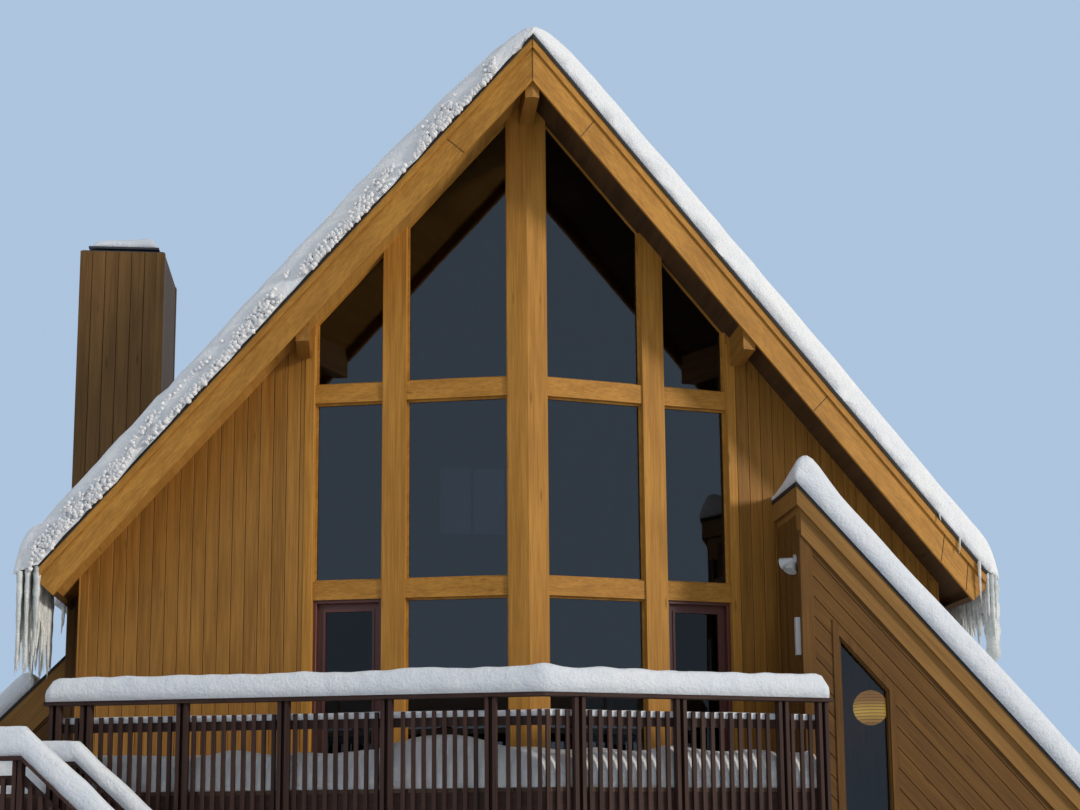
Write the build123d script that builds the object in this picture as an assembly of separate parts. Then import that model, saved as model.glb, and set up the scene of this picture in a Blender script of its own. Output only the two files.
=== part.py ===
from build123d import *
import math
import os

# Prow-fronted A-frame cabin with two lean-to wings, a deck, a stair and its snow.
# Millimetres, Z up, X to the right, Y into the building. The origin is the centre of
# the foot of the centre post of the glazed front, at ground level.

# Levels above the ground
riser = 190
deck_risers = 13
landing_risers = 10

# Main body in plan
half_width = 4830
prow_run = 0.258
prow_reach = 120
wall_t = 165
body_back = 9500
floor_t = 300

# Main roof: heights above the deck, depths measured plumb
ridge_rise = 8010
roof_slope = 1.075
roof_half = 5180
roof_v = 400
roof_front = 806
roof_back = 620
barge_v = 520
barge_t = 45
shadow_v = 150
shadow_t = 25
eave_cut = 160
eave_plumb = 205
fascia_t = 40

# Glazed front, measured along each wall from the centre line
centre_half = 226
mullion_at = 1350
mullion_w = 258
door_bay = 764
jamb_w = 80
post_depth = 165
upper_transom_top = 4450
upper_transom_v = 205
lower_transom_top = 2265
lower_transom_v = 200
transom_set = 20
transom_depth = 125
glazing_sill_v = 120
glass_set = 90
glass_t = 24

# Doors
door_t = 45
door_gap = 8
hinge_gap = 6
door_sill_v = 25
stile = 115
bottom_rail = 260
handle_rise = 1000
handle_r = 12
lever_t = 10
lever_v = 20
handle_out = 50
handle_l = 130
pin_r = 6
knuckle_r = 12
hinge_clear = 0.3
knuckle_h = 40
hinge_leaf_t = 4
hinge_rises = (220, 1000, 1780)

# Beams of the roof
ridge_beam_w = 150
ridge_beam_v = 290
purlin_at = 2420
purlin_w = 140
purlin_v = 330
tie_beam_rise = 5250
tie_beam_v = 190
tie_beam_y = 1500
tie_beam_t = 90

# Chimney chase at the left eave
chase_in = 130
chase_w = 930
chase_front = 1700
chase_l = 1400
chase_rise = 6330
chase_wall = 60
cap_gap = 60
cap_foot = 120
cap_over = 60
cap_t = 25

# Back wall windows
back_window_w = 1100
back_window_v = 1150
back_window_at = 2100
back_window_sill = 950
loft_window_sill = 4300

# Wings
wing_wall = 150
wing_roof_v = 260
wing_barge_v = 510
wing_barge_t = 40
wing_shadow_v = 240
wing_shadow_t = 45
wing_floor_t = 110
wing_eave = 200
right_wing_left = 2870
right_wing_front = -430
right_wing_right = 6300
right_wing_back = 6200
right_wing_rise = 3230
right_wing_slope = 1.11
right_wing_lap = 50
window_at = 3240
window_w = 520
window_peak = 1600
window_low = -1500
left_wing_left = 7000
left_wing_front = 1850
left_wing_back = 6800
left_wing_rise = 1640
left_wing_slope = 1.02

# Deck
deck_reach = 1355
deck_run = 0.27
deck_right = 3020
deck_left = 6050
board_t = 40
rim_v = 215
rim_t = 45
joist_pitch = 610
deck_post = 140
beam_v = 200
beam_t = 90
beam_in = 300
deck_posts_right = (450, 2900)
deck_posts_left = (1500, 3700, 5900)

# Railing, heights above the walking surface
cap_low = 875
cap_t_rail = 38
cap_w = 150
rail_cap_over = 30
rail_cap_end = 50
mid_rail_top = 690
mid_rail_v = 90
mid_rail_t = 38
mid_rail_joint = 6
baluster = 38
baluster_pitch = 104
baluster_top = 750
tip_baluster = 35
rail_drop = 285
rail_board_t = 38
rail_board_w = 89
rail_core_t = 25
rail_posts_right = (352, 1440, 2587, 3046)
rail_posts_left = (510, 1550, 2600, 3650, 4667, 5000)
end_post_w = 135
end_post_t = 90

# Stair along the left edge of the deck
stair_w = 1120
stair_out = 450
stair_top = 4585
landing_end = 6200
tread_run = 215
tread_t = 45
tread_nose = 20
stringer_t = 50
stringer_v = 300
landing_v = 240
short_flight_at = 5170
stair_post_w = 90
stair_slot = 60
stair_cap_low = 826
stair_cap_in = 30
baluster_foot = 60
baluster_drop = 130

# Lamps
flood_rise = 2435
flood_r = 60
flood_base_t = 30
flood_rim_r = 70
flood_neck_r = 27
flood_l = 145
flood_turn = 38
flood_tilt = 14
flood_dip = 62
slim_lamp_w = 60
slim_lamp_v = 400
slim_lamp_low = 1400
slim_lamp_out = 70
lantern_r = 190
lantern_rise = 890
lantern_x = 3755
lantern_y = 270
lantern_cord_r = 5

# Snow that lies on the building
roof_snow_v = 330
ridge_round = 430
wing_snow_v = 270
rail_snow_v = 260
rail_snow_lap = 20
snow_lip = 15
chimney_snow_v = 140

deck_z = riser * deck_risers
landing_z = riser * landing_risers
ridge_z = deck_z + ridge_rise
mullion_end = mullion_at + mullion_w
jamb_at = mullion_end + door_bay
jamb_end = jamb_at + jamb_w
rail_post_w = 3 * rail_board_t
door_head = lower_transom_top - lower_transom_v
prow_scale = math.hypot(1, prow_run)
chase_left = roof_half - chase_in
chase_right = chase_left - chase_w
chase_back = chase_front + chase_l
chase_z = deck_z + chase_rise
deck_tip = -prow_reach - deck_reach
deck_scale = math.hypot(1, deck_run)
far = 30000

front_frame = Plane(origin=(0, -prow_reach, 0), x_dir=(1, prow_run, 0), z_dir=(0, 0, 1)).location
deck_frame = Plane(origin=(0, deck_tip, 0), x_dir=(1, deck_run, 0), z_dir=(0, 0, 1)).location


def wall_y(x):
    """Outer face of the front wall at a distance x from the centre line."""
    return prow_run * abs(x) - prow_reach


def inner_y(x):
    """Inner face of the front wall at a distance x from the centre line."""
    return wall_y(x) + wall_t * prow_scale


def deck_y(x):
    """Outer edge of the deck at a distance x from the centre line."""
    return deck_run * abs(x) + deck_tip


def roof_z(x, drop=0):
    """Level of the main roof's top, or of a surface drop below it."""
    return ridge_z - roof_slope * abs(x) - drop


def plan(points, low, high):
    """Upright prism over a plan outline."""
    face = make_face(Polyline(*points, close=True))
    return Pos(0, 0, low) * extrude(face, high - low, dir=(0, 0, 1))


def elevation(points, near, back):
    """Prism along Y from an outline in X and Z."""
    face = make_face(Polyline(*[(x, near, z) for x, z in points], close=True))
    return extrude(face, back - near, dir=(0, 1, 0))


def block(x0, x1, y0, y1, z0, z1):
    """Plain block between two corners."""
    return plan([(x0, y0), (x1, y0), (x1, y1), (x0, y1)], z0, z1)


def mirrored(shape):
    """The same piece on the left of the centre line."""
    return mirror(shape, about=Plane.YZ)


def along_front(u0, u1, n0, n1, z0, z1):
    """Block along the right half of the front wall, n behind its outer face."""
    return front_frame * block(u0, u1, n0, n1, z0, z1)


def along_deck(u0, u1, n0, n1, z0, z1):
    """Block along the right half of the deck's edge, n behind the edge."""
    return deck_frame * block(u0, u1, n0, n1, z0, z1)


def under_roof(drop=roof_v):
    """All the space under the main roof down to the ground."""
    foot = (ridge_z - drop) / roof_slope
    return elevation([(-foot, 0), (foot, 0), (0, ridge_z - drop)], -far, far)


def save(name, *solids):
    """Write one node of one or more separate solids."""
    shape = solids[0] if len(solids) == 1 else Compound(children=list(solids))
    export_step(shape, f"parts/{name}.step")


def fused(first, *others):
    """One solid from touching pieces."""
    for other in others:
        first = first + other
    return first


def chase_block(grow=0):
    """Outside of the chimney chase, from the ground up."""
    return block(
        -chase_left - grow, -chase_right + grow, chase_front - grow, chase_back + grow, 0, chase_z
    )


# Walls of the main body

def front_siding():
    """Right boarded part of the front wall, from the ground to the roof."""
    wall = along_front(jamb_end, 2 * half_width, 0, wall_t, 0, ridge_z)
    return wall & under_roof() & block(0, half_width, -far, far, 0, ridge_z)


def front_base():
    """Right part of the wall under the glazing."""
    return along_front(centre_half, jamb_end, 0, wall_t, 0, deck_z)


def side_wall():
    """Right side wall of the main body."""
    inside = half_width - wall_t
    points = [(inside, inner_y(inside)), (half_width, inner_y(half_width)),
              (half_width, body_back), (inside, body_back)]
    return plan(points, 0, ridge_z) & under_roof()


def back_wall():
    """Gable wall at the back, with two rows of windows."""
    inside = half_width - wall_t
    wall = block(-inside, inside, body_back - wall_t, body_back, 0, ridge_z) & under_roof()
    for x, sill in back_windows():
        wall = wall - back_window_block(x, sill, body_back - 2 * wall_t, body_back + wall_t)
    return wall - ridge_beam()


def back_windows():
    """Centre and sill level of each window in the back wall."""
    lower = [(at, back_window_sill) for at in (-back_window_at, back_window_at)]
    return lower + [(0, loft_window_sill)]


def back_window_block(x, sill, near, back):
    """Block of a back window's size."""
    half = back_window_w / 2
    low = deck_z + sill
    return block(x - half, x + half, near, back, low, low + back_window_v)


def main_floor():
    """Floor inside the main body, cut round the chimney chase."""
    inside = half_width - wall_t
    points = [(-inside, inner_y(inside)), (0, inner_y(0)), (inside, inner_y(inside)),
              (inside, body_back - wall_t), (-inside, body_back - wall_t)]
    return plan(points, deck_z - floor_t, deck_z) - chase_block()


# Timber of the glazed front

def centre_post():
    """Mitred post in the point of the prow, notched for the ridge beam."""
    half = along_front(-post_depth, centre_half, 0, post_depth, 0, ridge_z)
    half = half & block(0, half_width, -far, far, 0, ridge_z)
    return (fused(half, mirrored(half)) & under_roof()) - ridge_beam()


def front_post(start, width):
    """Post of the glazed front that stands on the base wall."""
    return along_front(start, start + width, 0, post_depth, deck_z, ridge_z) & under_roof()


def transoms(rise, depth_v):
    """Rails across the four bays with their tops at one height above the deck."""
    pieces = []
    for start, end in ((centre_half, mullion_at), (mullion_end, jamb_at)):
        top = deck_z + rise
        rail = along_front(start, end, transom_set, transom_set + transom_depth, top - depth_v, top)
        pieces += [rail, mirrored(rail)]
    return pieces


def pane(start, end, low, high):
    """One sheet of glass in the right half of the front, heights above the deck."""
    sheet = along_front(start, end, glass_set, glass_set + glass_t, deck_z + low, deck_z + high)
    return sheet & under_roof()


def pane_row(low, high, bays):
    """Sheets of one row on both halves of the front."""
    sheets = [pane(start, end, low, high) for start, end in bays]
    return sheets + [mirrored(sheet) for sheet in sheets]


# Doors

door_inner = post_depth
door_low = deck_z + door_sill_v + door_gap
door_top = deck_z + door_head - door_gap
leaf_end = mullion_end + door_gap
leaf_start = jamb_at - hinge_gap
hinge_u = jamb_at - hinge_gap / 2
hinge_n = door_inner + knuckle_r


def at_hinge(radius, low, high):
    """Upright cylinder on the right door's hinge line."""
    rod = Pos(hinge_u, hinge_n, (low + high) / 2) * Cylinder(radius, high - low)
    return front_frame * rod


def door_leaf():
    """Right door: frame round one tall light, with the middle knuckles of its hinges."""
    leaf = along_front(leaf_end, leaf_start, door_inner - door_t, door_inner, door_low, door_top)
    light = along_front(
        leaf_end + stile, leaf_start - stile, door_inner - 2 * door_t, door_inner + door_t,
        door_low + bottom_rail, door_top - stile,
    )
    leaf = leaf - light
    for rise in hinge_rises:
        low = deck_z + rise
        high = low + knuckle_h
        plate = along_front(
            hinge_u - 3 * knuckle_r, hinge_u - pin_r, door_inner, door_inner + hinge_leaf_t, low, high
        )
        bore = at_hinge(pin_r + hinge_clear, low - knuckle_h, high + knuckle_h)
        leaf = fused(leaf, plate, at_hinge(knuckle_r, low, high)) - bore
    return leaf


def door_hinges():
    """Pins and fixed knuckles of the right door, on plates on the jamb."""
    pieces = []
    for rise in hinge_rises:
        low = deck_z + rise
        high = low + knuckle_h
        pin = at_hinge(pin_r, low - knuckle_h, high + knuckle_h)
        for start, end in ((low - knuckle_h, low - hinge_clear), (high + hinge_clear, high + knuckle_h)):
            plate = along_front(
                jamb_at, hinge_u + 3 * knuckle_r, door_inner, door_inner + hinge_leaf_t, start, end
            )
            tongue = along_front(
                hinge_u, jamb_at, door_inner + hinge_leaf_t, door_inner + 2 * hinge_leaf_t, start, end
            )
            knuckle = at_hinge(knuckle_r, start, end)
            pin = fused(pin, knuckle, tongue, plate)
        pieces.append(pin)
    return pieces


def door_glass():
    """Sheet in the right door's light."""
    middle = door_inner - door_t / 2
    return along_front(
        leaf_end + stile, leaf_start - stile, middle - glass_t / 2, middle + glass_t / 2,
        door_low + bottom_rail, door_top - stile,
    )


def door_handles():
    """Lever handles on both faces of the right door."""
    pieces = []
    at_u = leaf_end + stile / 2
    level = deck_z + handle_rise
    for face, sign in ((door_inner, 1), (door_inner - door_t, -1)):
        neck_mid = face + sign * handle_out / 2
        neck = Pos(at_u, neck_mid, level) * Rot(90, 0, 0) * Cylinder(handle_r, handle_out)
        lever_n = face + sign * (handle_out + lever_t / 2)
        lever = Pos(at_u + handle_l / 2 - handle_r, lever_n, level) * Box(handle_l, lever_t, lever_v)
        pieces.append(front_frame * fused(neck, lever))
    return pieces


def door_sill():
    """Threshold under the right door."""
    return along_front(mullion_end, jamb_at, 0, post_depth, deck_z, deck_z + door_sill_v)


# Main roof

def eave_x(drop):
    """Outer end of the roof at a depth below its top surface: plumb, then cut in."""
    return roof_half - eave_cut * max(drop - eave_plumb, 0) / (barge_v - eave_plumb)


def eave_edge(depth, start):
    """Points down the end of the right slope, from its top surface to a depth."""
    drops = sorted({0, min(eave_plumb, depth), depth})
    return [(eave_x(drop) - start, roof_z(eave_x(drop) - start, drop)) for drop in drops]


def rake_band(depth, start):
    """Outline of the right slope from its top surface to a depth, from the ridge out."""
    return [(0, ridge_z), *eave_edge(depth, start), (0, ridge_z - depth)]


def roof_plan(front_in, back_in):
    """Plan of the right slope, held back from the front and back edges."""
    reach = roof_half + snow_lip
    tip = -prow_reach - roof_front + front_in
    back = body_back + roof_back - back_in
    points = [(0, tip), (reach, tip + prow_run * reach), (reach, back), (0, back)]
    return plan(points, 0, ridge_z + roof_snow_v * 2)


def roof_slab():
    """Right slope of the main roof, with its soffit."""
    edge = barge_t + shadow_t
    return elevation(rake_band(roof_v, fascia_t), -far, far) & roof_plan(edge, barge_t)


def barge_strip(near, thick):
    """Plan strip along the right half of the front rake."""
    reach = roof_half
    tip = -prow_reach - roof_front + near
    points = [(0, tip), (reach, tip + prow_run * reach),
              (reach, tip + prow_run * reach + thick), (0, tip + thick)]
    return plan(points, 0, 2 * ridge_z)


def front_barge():
    """Right barge board with its narrow upper board."""
    board = elevation(rake_band(barge_v, 0), -far, far) & barge_strip(shadow_t, barge_t)
    upper = elevation(rake_band(shadow_v, 0), -far, far) & barge_strip(0, shadow_t)
    return fused(board, upper)


def back_barge():
    """Right barge board of the back gable."""
    edge = body_back + roof_back
    return elevation(rake_band(barge_v, 0), edge - barge_t, edge)


def eave_fascia():
    """Board along the right eave between the front and back barge boards."""
    outline = eave_edge(barge_v, 0) + eave_edge(barge_v, fascia_t)[::-1]
    return elevation(outline, -far, far) & roof_plan(barge_t + shadow_t, barge_t)


def ridge_beam():
    """Beam under the ridge, from behind the barge boards to the back ones."""
    half = ridge_beam_w / 2
    tip = -prow_reach - roof_front + barge_t + shadow_t
    back = body_back + roof_back - barge_t
    corner = tip + prow_run * half
    points = [(0, tip), (half, corner), (half, back), (-half, back), (-half, corner)]
    low = ridge_z - roof_v - ridge_beam_v
    return plan(points, low, ridge_z) & under_roof()


def purlin_end():
    """Right purlin where it carries the roof in front of the wall."""
    x0 = purlin_at - purlin_w / 2
    x1 = purlin_at + purlin_w / 2
    reach = roof_front - barge_t - shadow_t
    points = [(x0, wall_y(x0) - reach), (x1, wall_y(x1) - reach), (x1, wall_y(x1)), (x0, wall_y(x0))]
    low = roof_z(x0, roof_v) - purlin_v
    return plan(points, low, ridge_z) & under_roof()


def tie_beam():
    """Level beam across the room behind the glazing."""
    low = deck_z + tie_beam_rise
    foot = roof_z(0, roof_v) / roof_slope
    beam = block(-foot, foot, tie_beam_y, tie_beam_y + tie_beam_t, low, low + tie_beam_v)
    return beam & under_roof()


# Chimney

def chase():
    """Boarded chase as a tube."""
    inner = block(
        -chase_left + chase_wall, -chase_right - chase_wall,
        chase_front + chase_wall, chase_back - chase_wall, 0, chase_z,
    )
    return chase_block() - inner


def chimney_cap():
    """Raised metal lid on its foot."""
    foot = block(
        -chase_left + cap_foot, -chase_right - cap_foot, chase_front + cap_foot, chase_back - cap_foot,
        chase_z - cap_foot, chase_z + cap_gap,
    )
    tray = block(-chase_left, -chase_right, chase_front, chase_back, chase_z, chase_z + cap_t / 2)
    lid = block(
        -chase_left - cap_over + cap_foot, -chase_right + cap_over - cap_foot,
        chase_front - cap_over + cap_foot, chase_back + cap_over - cap_foot,
        chase_z + cap_gap, chase_z + cap_gap + cap_t,
    )
    return fused(foot, tray, lid)


# Right wing

def right_wing_z(x, drop=0):
    """Level of the right wing's roof, or of a surface drop below it."""
    return deck_z + right_wing_rise - right_wing_slope * (x - right_wing_left + right_wing_lap) - drop


def under_right_wing(drop=wing_roof_v):
    """Space under the right wing's roof."""
    start = right_wing_left - right_wing_lap
    end = right_wing_right + wing_eave
    points = [(start, 0), (end, 0), (end, right_wing_z(end, drop)), (start, right_wing_z(start, drop))]
    return elevation(points, -far, far)


def right_wing_front_wall():
    """Front wall of the right wing with its tall window, whose head follows the roof."""
    wall = block(
        right_wing_left, right_wing_right, right_wing_front, right_wing_front + wing_wall, 0, ridge_z
    ) & under_right_wing()
    return wall - window_shape(right_wing_front - wing_wall, right_wing_front + 2 * wing_wall)


def window_shape(near, back):
    """Prism of the tall window."""
    end = window_at + window_w
    low = deck_z + window_low
    head = deck_z + window_peak
    points = [(window_at, low), (end, low), (end, head - right_wing_slope * window_w), (window_at, head)]
    return elevation(points, near, back)


def right_wing_side_wall():
    """Wall of the right wing that closes the end of the deck."""
    inside = right_wing_left + wing_wall
    start = right_wing_front + wing_wall
    points = [(right_wing_left, start), (inside, start), (inside, wall_y(inside)),
              (right_wing_left, wall_y(right_wing_left))]
    return plan(points, 0, ridge_z) & under_right_wing()


def right_wing_outer_wall():
    """Low wall under the right wing's eave."""
    return block(
        right_wing_right - wing_wall, right_wing_right,
        right_wing_front + wing_wall, right_wing_back - wing_wall, 0, ridge_z,
    ) & under_right_wing()


def right_wing_back_wall():
    """Back wall of the right wing."""
    return block(
        half_width, right_wing_right, right_wing_back - wing_wall, right_wing_back, 0, ridge_z
    ) & under_right_wing()


def right_wing_plan(lip=0):
    """Plan of the right wing's roof round the corner of the main body."""
    left = right_wing_left - right_wing_lap
    right = right_wing_right + wing_eave + lip
    near = right_wing_front - wing_barge_t - wing_shadow_t - lip
    back = right_wing_back + wing_eave
    points = [(left, near), (right, near), (right, back), (half_width, back),
              (half_width, wall_y(half_width)), (left, wall_y(left))]
    return plan(points, 0, ridge_z)


def right_wing_layer(top, low):
    """Outline of the right wing's slope between two depths."""
    start = right_wing_left - right_wing_lap
    end = right_wing_right + wing_eave
    return [(start, right_wing_z(start, top)), (end, right_wing_z(end, top)),
            (end, right_wing_z(end, low)), (start, right_wing_z(start, low))]


def right_wing_trim():
    """Two-step rake board and its return along the high edge."""
    left = right_wing_left - right_wing_lap
    near = right_wing_front - wing_barge_t - wing_shadow_t
    step = near + wing_shadow_t
    board = elevation(right_wing_layer(0, wing_barge_v), step, right_wing_front)
    board = board & block(left + wing_shadow_t, far, -far, far, 0, ridge_z)
    upper = elevation(right_wing_layer(0, wing_shadow_v), near, step)
    top = right_wing_z(left)
    upper_return = block(left, left + wing_shadow_t, step, far, top - wing_shadow_v, top)
    lower_return = block(left + wing_shadow_t, right_wing_left, step, far, top - wing_barge_v, top)
    returns = fused(upper_return, lower_return) & right_wing_plan() & under_right_wing(0)
    return fused(board, upper, returns)


def right_wing_roof():
    """Roof slab of the right wing behind its trim."""
    slab = elevation(right_wing_layer(0, wing_roof_v), right_wing_front, far) & right_wing_plan()
    return slab & block(right_wing_left, far, -far, far, 0, ridge_z)


# Left wing

def left_wing_z(x, drop=0):
    """Level of the left wing's roof at a distance x from the centre line."""
    return deck_z + left_wing_rise - left_wing_slope * (x - chase_left) - drop


def left_wing_layer(top, low):
    """Outline of the left wing's slope between two depths, drawn on the right."""
    start = half_width
    end = left_wing_left + wing_eave
    return [(start, left_wing_z(start, top)), (end, left_wing_z(end, top)),
            (end, left_wing_z(end, low)), (start, left_wing_z(start, low))]


def under_left_wing(drop=wing_roof_v):
    """Space under the left wing's roof, drawn on the right."""
    start = half_width
    end = left_wing_left + wing_eave
    return elevation(
        [(start, 0), (end, 0), (end, left_wing_z(end, drop)), (start, left_wing_z(start, drop))], -far, far
    )


def left_wing_piece(x0, x1, y0, y1):
    """Upright piece of the left wing under its roof, clear of the chase."""
    piece = mirrored(block(x0, x1, y0, y1, 0, ridge_z) & under_left_wing())
    return piece - chase_block()


def left_wing_slab(top, low, near, back):
    """Sloping layer of the left wing's roof, clear of the chase."""
    return mirrored(elevation(left_wing_layer(top, low), near, back)) - chase_block()


# Deck

def deck_outline(hold_back=0):
    """Plan of the deck between its edge and the walls."""
    tip = deck_tip + hold_back * deck_scale
    left_y = tip + deck_run * deck_left
    right_y = tip + deck_run * deck_right
    return [
        (-deck_left, left_y), (0, tip), (deck_right, right_y), (deck_right, right_wing_front),
        (right_wing_left, right_wing_front), (right_wing_left, wall_y(right_wing_left)),
        (0, -prow_reach), (-half_width, wall_y(half_width)), (-half_width, chase_front),
        (-deck_left, chase_front),
    ]


def deck_boards():
    """Walking surface of the deck."""
    return plan(deck_outline(), deck_z - board_t, deck_z) - chase_block()


def rims():
    """Boards along the two front edges of the deck."""
    top = deck_z - board_t
    right = along_deck(-rim_t, far, 0, rim_t, top - rim_v, top)
    right = right & block(0, deck_right, -far, right_wing_front, 0, deck_z)
    left = along_deck(-rim_t, far, 0, rim_t, top - rim_v, top)
    left = mirrored(left & block(0, deck_left, -far, far, 0, deck_z))
    return fused(right, left)


def joists():
    """Joists from the rim to the walls."""
    top = deck_z - board_t
    space = plan(deck_outline(rim_t), top - rim_v, top) - chase_block()
    count_left = int((deck_left - rim_t) // joist_pitch)
    count_right = int((right_wing_left - rim_t) // joist_pitch)
    pieces = []
    for index in range(-count_left, count_right + 1):
        x = index * joist_pitch
        pieces.append(block(x - rim_t / 2, x + rim_t / 2, -far, far, 0, deck_z) & space)
    return pieces


def deck_beams():
    """Beams under the joists, one along each edge."""
    top = deck_z - board_t - rim_v
    right = along_deck(0, far, beam_in, beam_in + beam_t, top - beam_v, top)
    right = right & block(rim_t, right_wing_left, -far, far, 0, deck_z)
    left = along_deck(0, far, beam_in, beam_in + beam_t, top - beam_v, top)
    left = left & block(rim_t, deck_left, -far, far, 0, deck_z)
    return [right, mirrored(left)]


def deck_post_at(u):
    """Post under the right beam."""
    low_of_beam = deck_z - board_t - rim_v - beam_v
    middle = beam_in + beam_t / 2
    half = deck_post / 2
    return along_deck(u - half, u + half, middle - half, middle + half, 0, low_of_beam)


# Railing

def rail_post_at(u):
    """Rail post on the deck's rim: two boards on edge with a thin board between them."""
    half = rail_post_w / 2
    low = deck_z - rail_drop
    high = deck_z + cap_low
    post = along_deck(u - half, u + half, -rail_board_w, 0, low, high)
    slot_half = rail_board_t / 2
    return post - along_deck(u - slot_half, u + slot_half, -rail_board_w, -rail_core_t, low, high)


def cap_edge():
    """Front edge of the rail cap, outside the deck's edge."""
    return rail_board_w + rail_cap_over


def cap_reach(posts):
    """End of the rail cap along the deck's edge, past its last post."""
    return posts[-1] + rail_post_w / 2 + rail_cap_end


def rail_cap(end):
    """Flat cap of the right railing up to a distance along the edge."""
    near = -cap_edge()
    low = deck_z + cap_low
    cap = along_deck(-cap_w, end, near, near + cap_w, low, low + cap_t_rail)
    return cap & block(0, far, -far, far, 0, ridge_z)


def mid_rail(start, end):
    """Middle rail of the right railing, behind its posts."""
    top = deck_z + mid_rail_top
    return along_deck(start, end, 0, mid_rail_t, top - mid_rail_v, top)


def balusters(first, count):
    """Balusters of the right railing, from the given place on."""
    half = baluster / 2
    low = deck_z - rail_drop
    high = deck_z + baluster_top
    places = [first + index * baluster_pitch for index in range(count)]
    return [along_deck(u - half, u + half, -baluster, 0, low, high) for u in places]


def panel(start, end):
    """Bay of the right railing from post to post: a rail, and balusters fixed to it and to the rim."""
    rail = mid_rail(start + mid_rail_joint / 2, end - mid_rail_joint / 2)
    clear = end - start - rail_post_w
    count = int(clear // baluster_pitch)
    first = (start + end - (count - 1) * baluster_pitch) / 2
    return fused(rail, *balusters(first, count))


def tip_panel():
    """Bay round the point of the deck, with its rail mitred there."""
    halves = []
    for post in (rail_posts_right[0], rail_posts_left[0]):
        clear = post - rail_post_w / 2 - baluster / 2 - tip_baluster
        count = int(clear // baluster_pitch) + 1
        rail = mid_rail(-mid_rail_t, post - mid_rail_joint / 2)
        half = fused(rail, *balusters(tip_baluster, count))
        halves.append(half & block(0, half_width, -far, far, 0, ridge_z))
    return fused(halves[0], mirrored(halves[1]))


def end_rail():
    """Guard across the left end of the deck: two posts, cap, rail and balusters."""
    outer = deck_left
    inner = deck_left - end_post_t
    near = deck_y(deck_left) + end_post_w
    back = chase_front
    high = deck_z + cap_low
    solid = block(inner, outer, near, near + end_post_w, deck_z, high)
    solid = fused(solid, block(inner, outer, back - end_post_w, back, deck_z, high))
    middle = (inner + outer) / 2
    solid = solid + block(middle - cap_w / 2, middle + cap_w / 2, near, back, high, high + cap_t_rail)
    top = deck_z + mid_rail_top
    solid = solid + block(outer - mid_rail_t, outer, near, back, top - mid_rail_v, top)
    count = int((back - near) // baluster_pitch)
    for index in range(1, count):
        y = near + index * baluster_pitch
        solid = solid + block(
            outer, outer + baluster, y - baluster / 2, y + baluster / 2,
            deck_z - rail_drop, deck_z + baluster_top,
        )
    return mirrored(solid)


# Stair, drawn on the right and mirrored to the left

def stair_block(u0, u1, out0, out1, z0, z1):
    """Block beside the deck's edge, measured outward from it."""
    return along_deck(u0, u1, -out1, -out0, z0, z1)


def stair_profile(points, out0, out1):
    """Prism across the stair from an outline in distance along the edge and height."""
    face = make_face(Polyline(*[(u, -out0, z) for u, z in points], close=True))
    return deck_frame * extrude(face, out1 - out0, dir=(0, -1, 0))


def landing():
    """Boards of the landing on their frame."""
    near = stair_out
    outer = stair_out + stair_w
    top = landing_z - tread_t
    low = landing_z - landing_v
    boards = stair_block(stair_top, landing_end, near, outer, top, landing_z)
    frame = stair_block(stair_top, landing_end, near, outer, low, top)
    inside = stair_block(
        stair_top + stringer_t, landing_end - stringer_t, near + stringer_t, outer - stringer_t, low, top
    )
    return fused(boards, frame - inside)


short_steps = deck_risers - landing_risers - 1
short_run = stair_out / short_steps


def short_treads():
    """Steps from the deck down to the landing."""
    pieces = []
    for index in range(short_steps):
        top = deck_z - riser * (index + 1)
        start = short_run * index
        pieces.append(stair_block(
            short_flight_at, landing_end, start, start + short_run, top - tread_t, top
        ))
    return pieces


def short_stringer(u0):
    """Stepped board that carries the short flight, from the deck's rim to the landing."""
    points = [(0, landing_z - landing_v / 2)]
    for index in range(short_steps):
        level = deck_z - riser * (index + 1) - tread_t
        points += [(-short_run * index, level), (-short_run * (index + 1), level)]
    points.append((-stair_out, landing_z - landing_v))
    face = make_face(Polyline(*[(u0, n, z) for n, z in points], close=True))
    return deck_frame * extrude(face, stringer_t, dir=(1, 0, 0))


def long_treads():
    """Steps from the landing down to the ground, towards the middle."""
    pieces = []
    for index in range(landing_risers - 1):
        top = landing_z - riser * (index + 1)
        end = stair_top - tread_run * index
        pieces.append(stair_block(
            end - tread_run - tread_nose, end - tread_nose, stair_out + stringer_t,
            stair_out + stair_w - stringer_t, top - tread_t, top,
        ))
    return pieces


def stringer(out0):
    """Sloping side board of the long flight, from the landing to the ground."""
    run = tread_run * (landing_risers - 1)
    foot = stair_top - run
    points = [
        (stair_top, landing_z), (stair_top, landing_z - stringer_v), (foot + tread_run, 0),
        (foot - tread_run / 2, 0), (foot - tread_run / 2, riser / 2),
    ]
    return stair_profile(points, out0, out0 + stringer_t)


def stair_post(u, out):
    """Post of the landing, from the ground to its cap, as two boards with a slot between them."""
    high = landing_z + stair_cap_low
    post = stair_block(u, u + stair_post_w, out, out + stair_post_w, 0, high)
    front = out + stair_post_w
    slot = stair_block(u + rail_board_t, u + stair_post_w - rail_board_t, front - stair_slot, front, 0, high)
    return post - slot


def foot_post(out):
    """Post at the foot of the long flight, cut to the slope of its cap."""
    start = flight_foot - stair_post_w
    points = [(start, 0), (flight_foot, 0), (flight_foot, flight_line(flight_foot) + stair_cap_low),
              (start, flight_line(start) + stair_cap_low)]
    return stair_profile(points, out, out + stair_post_w)


stair_sides = (stair_out - stair_post_w, stair_out + stair_w)
flight_foot = stair_top - tread_run * (landing_risers - 1)


def stair_posts():
    """Posts of the landing and of the foot of the long flight."""
    inner, outer = stair_sides
    pieces = [
        stair_post(stair_top, outer),
        stair_post(landing_end - stair_post_w, outer),
        stair_post(stair_top, inner),
        stair_post(landing_end, stair_out),
    ]
    return pieces + [foot_post(out) for out in stair_sides]


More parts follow.
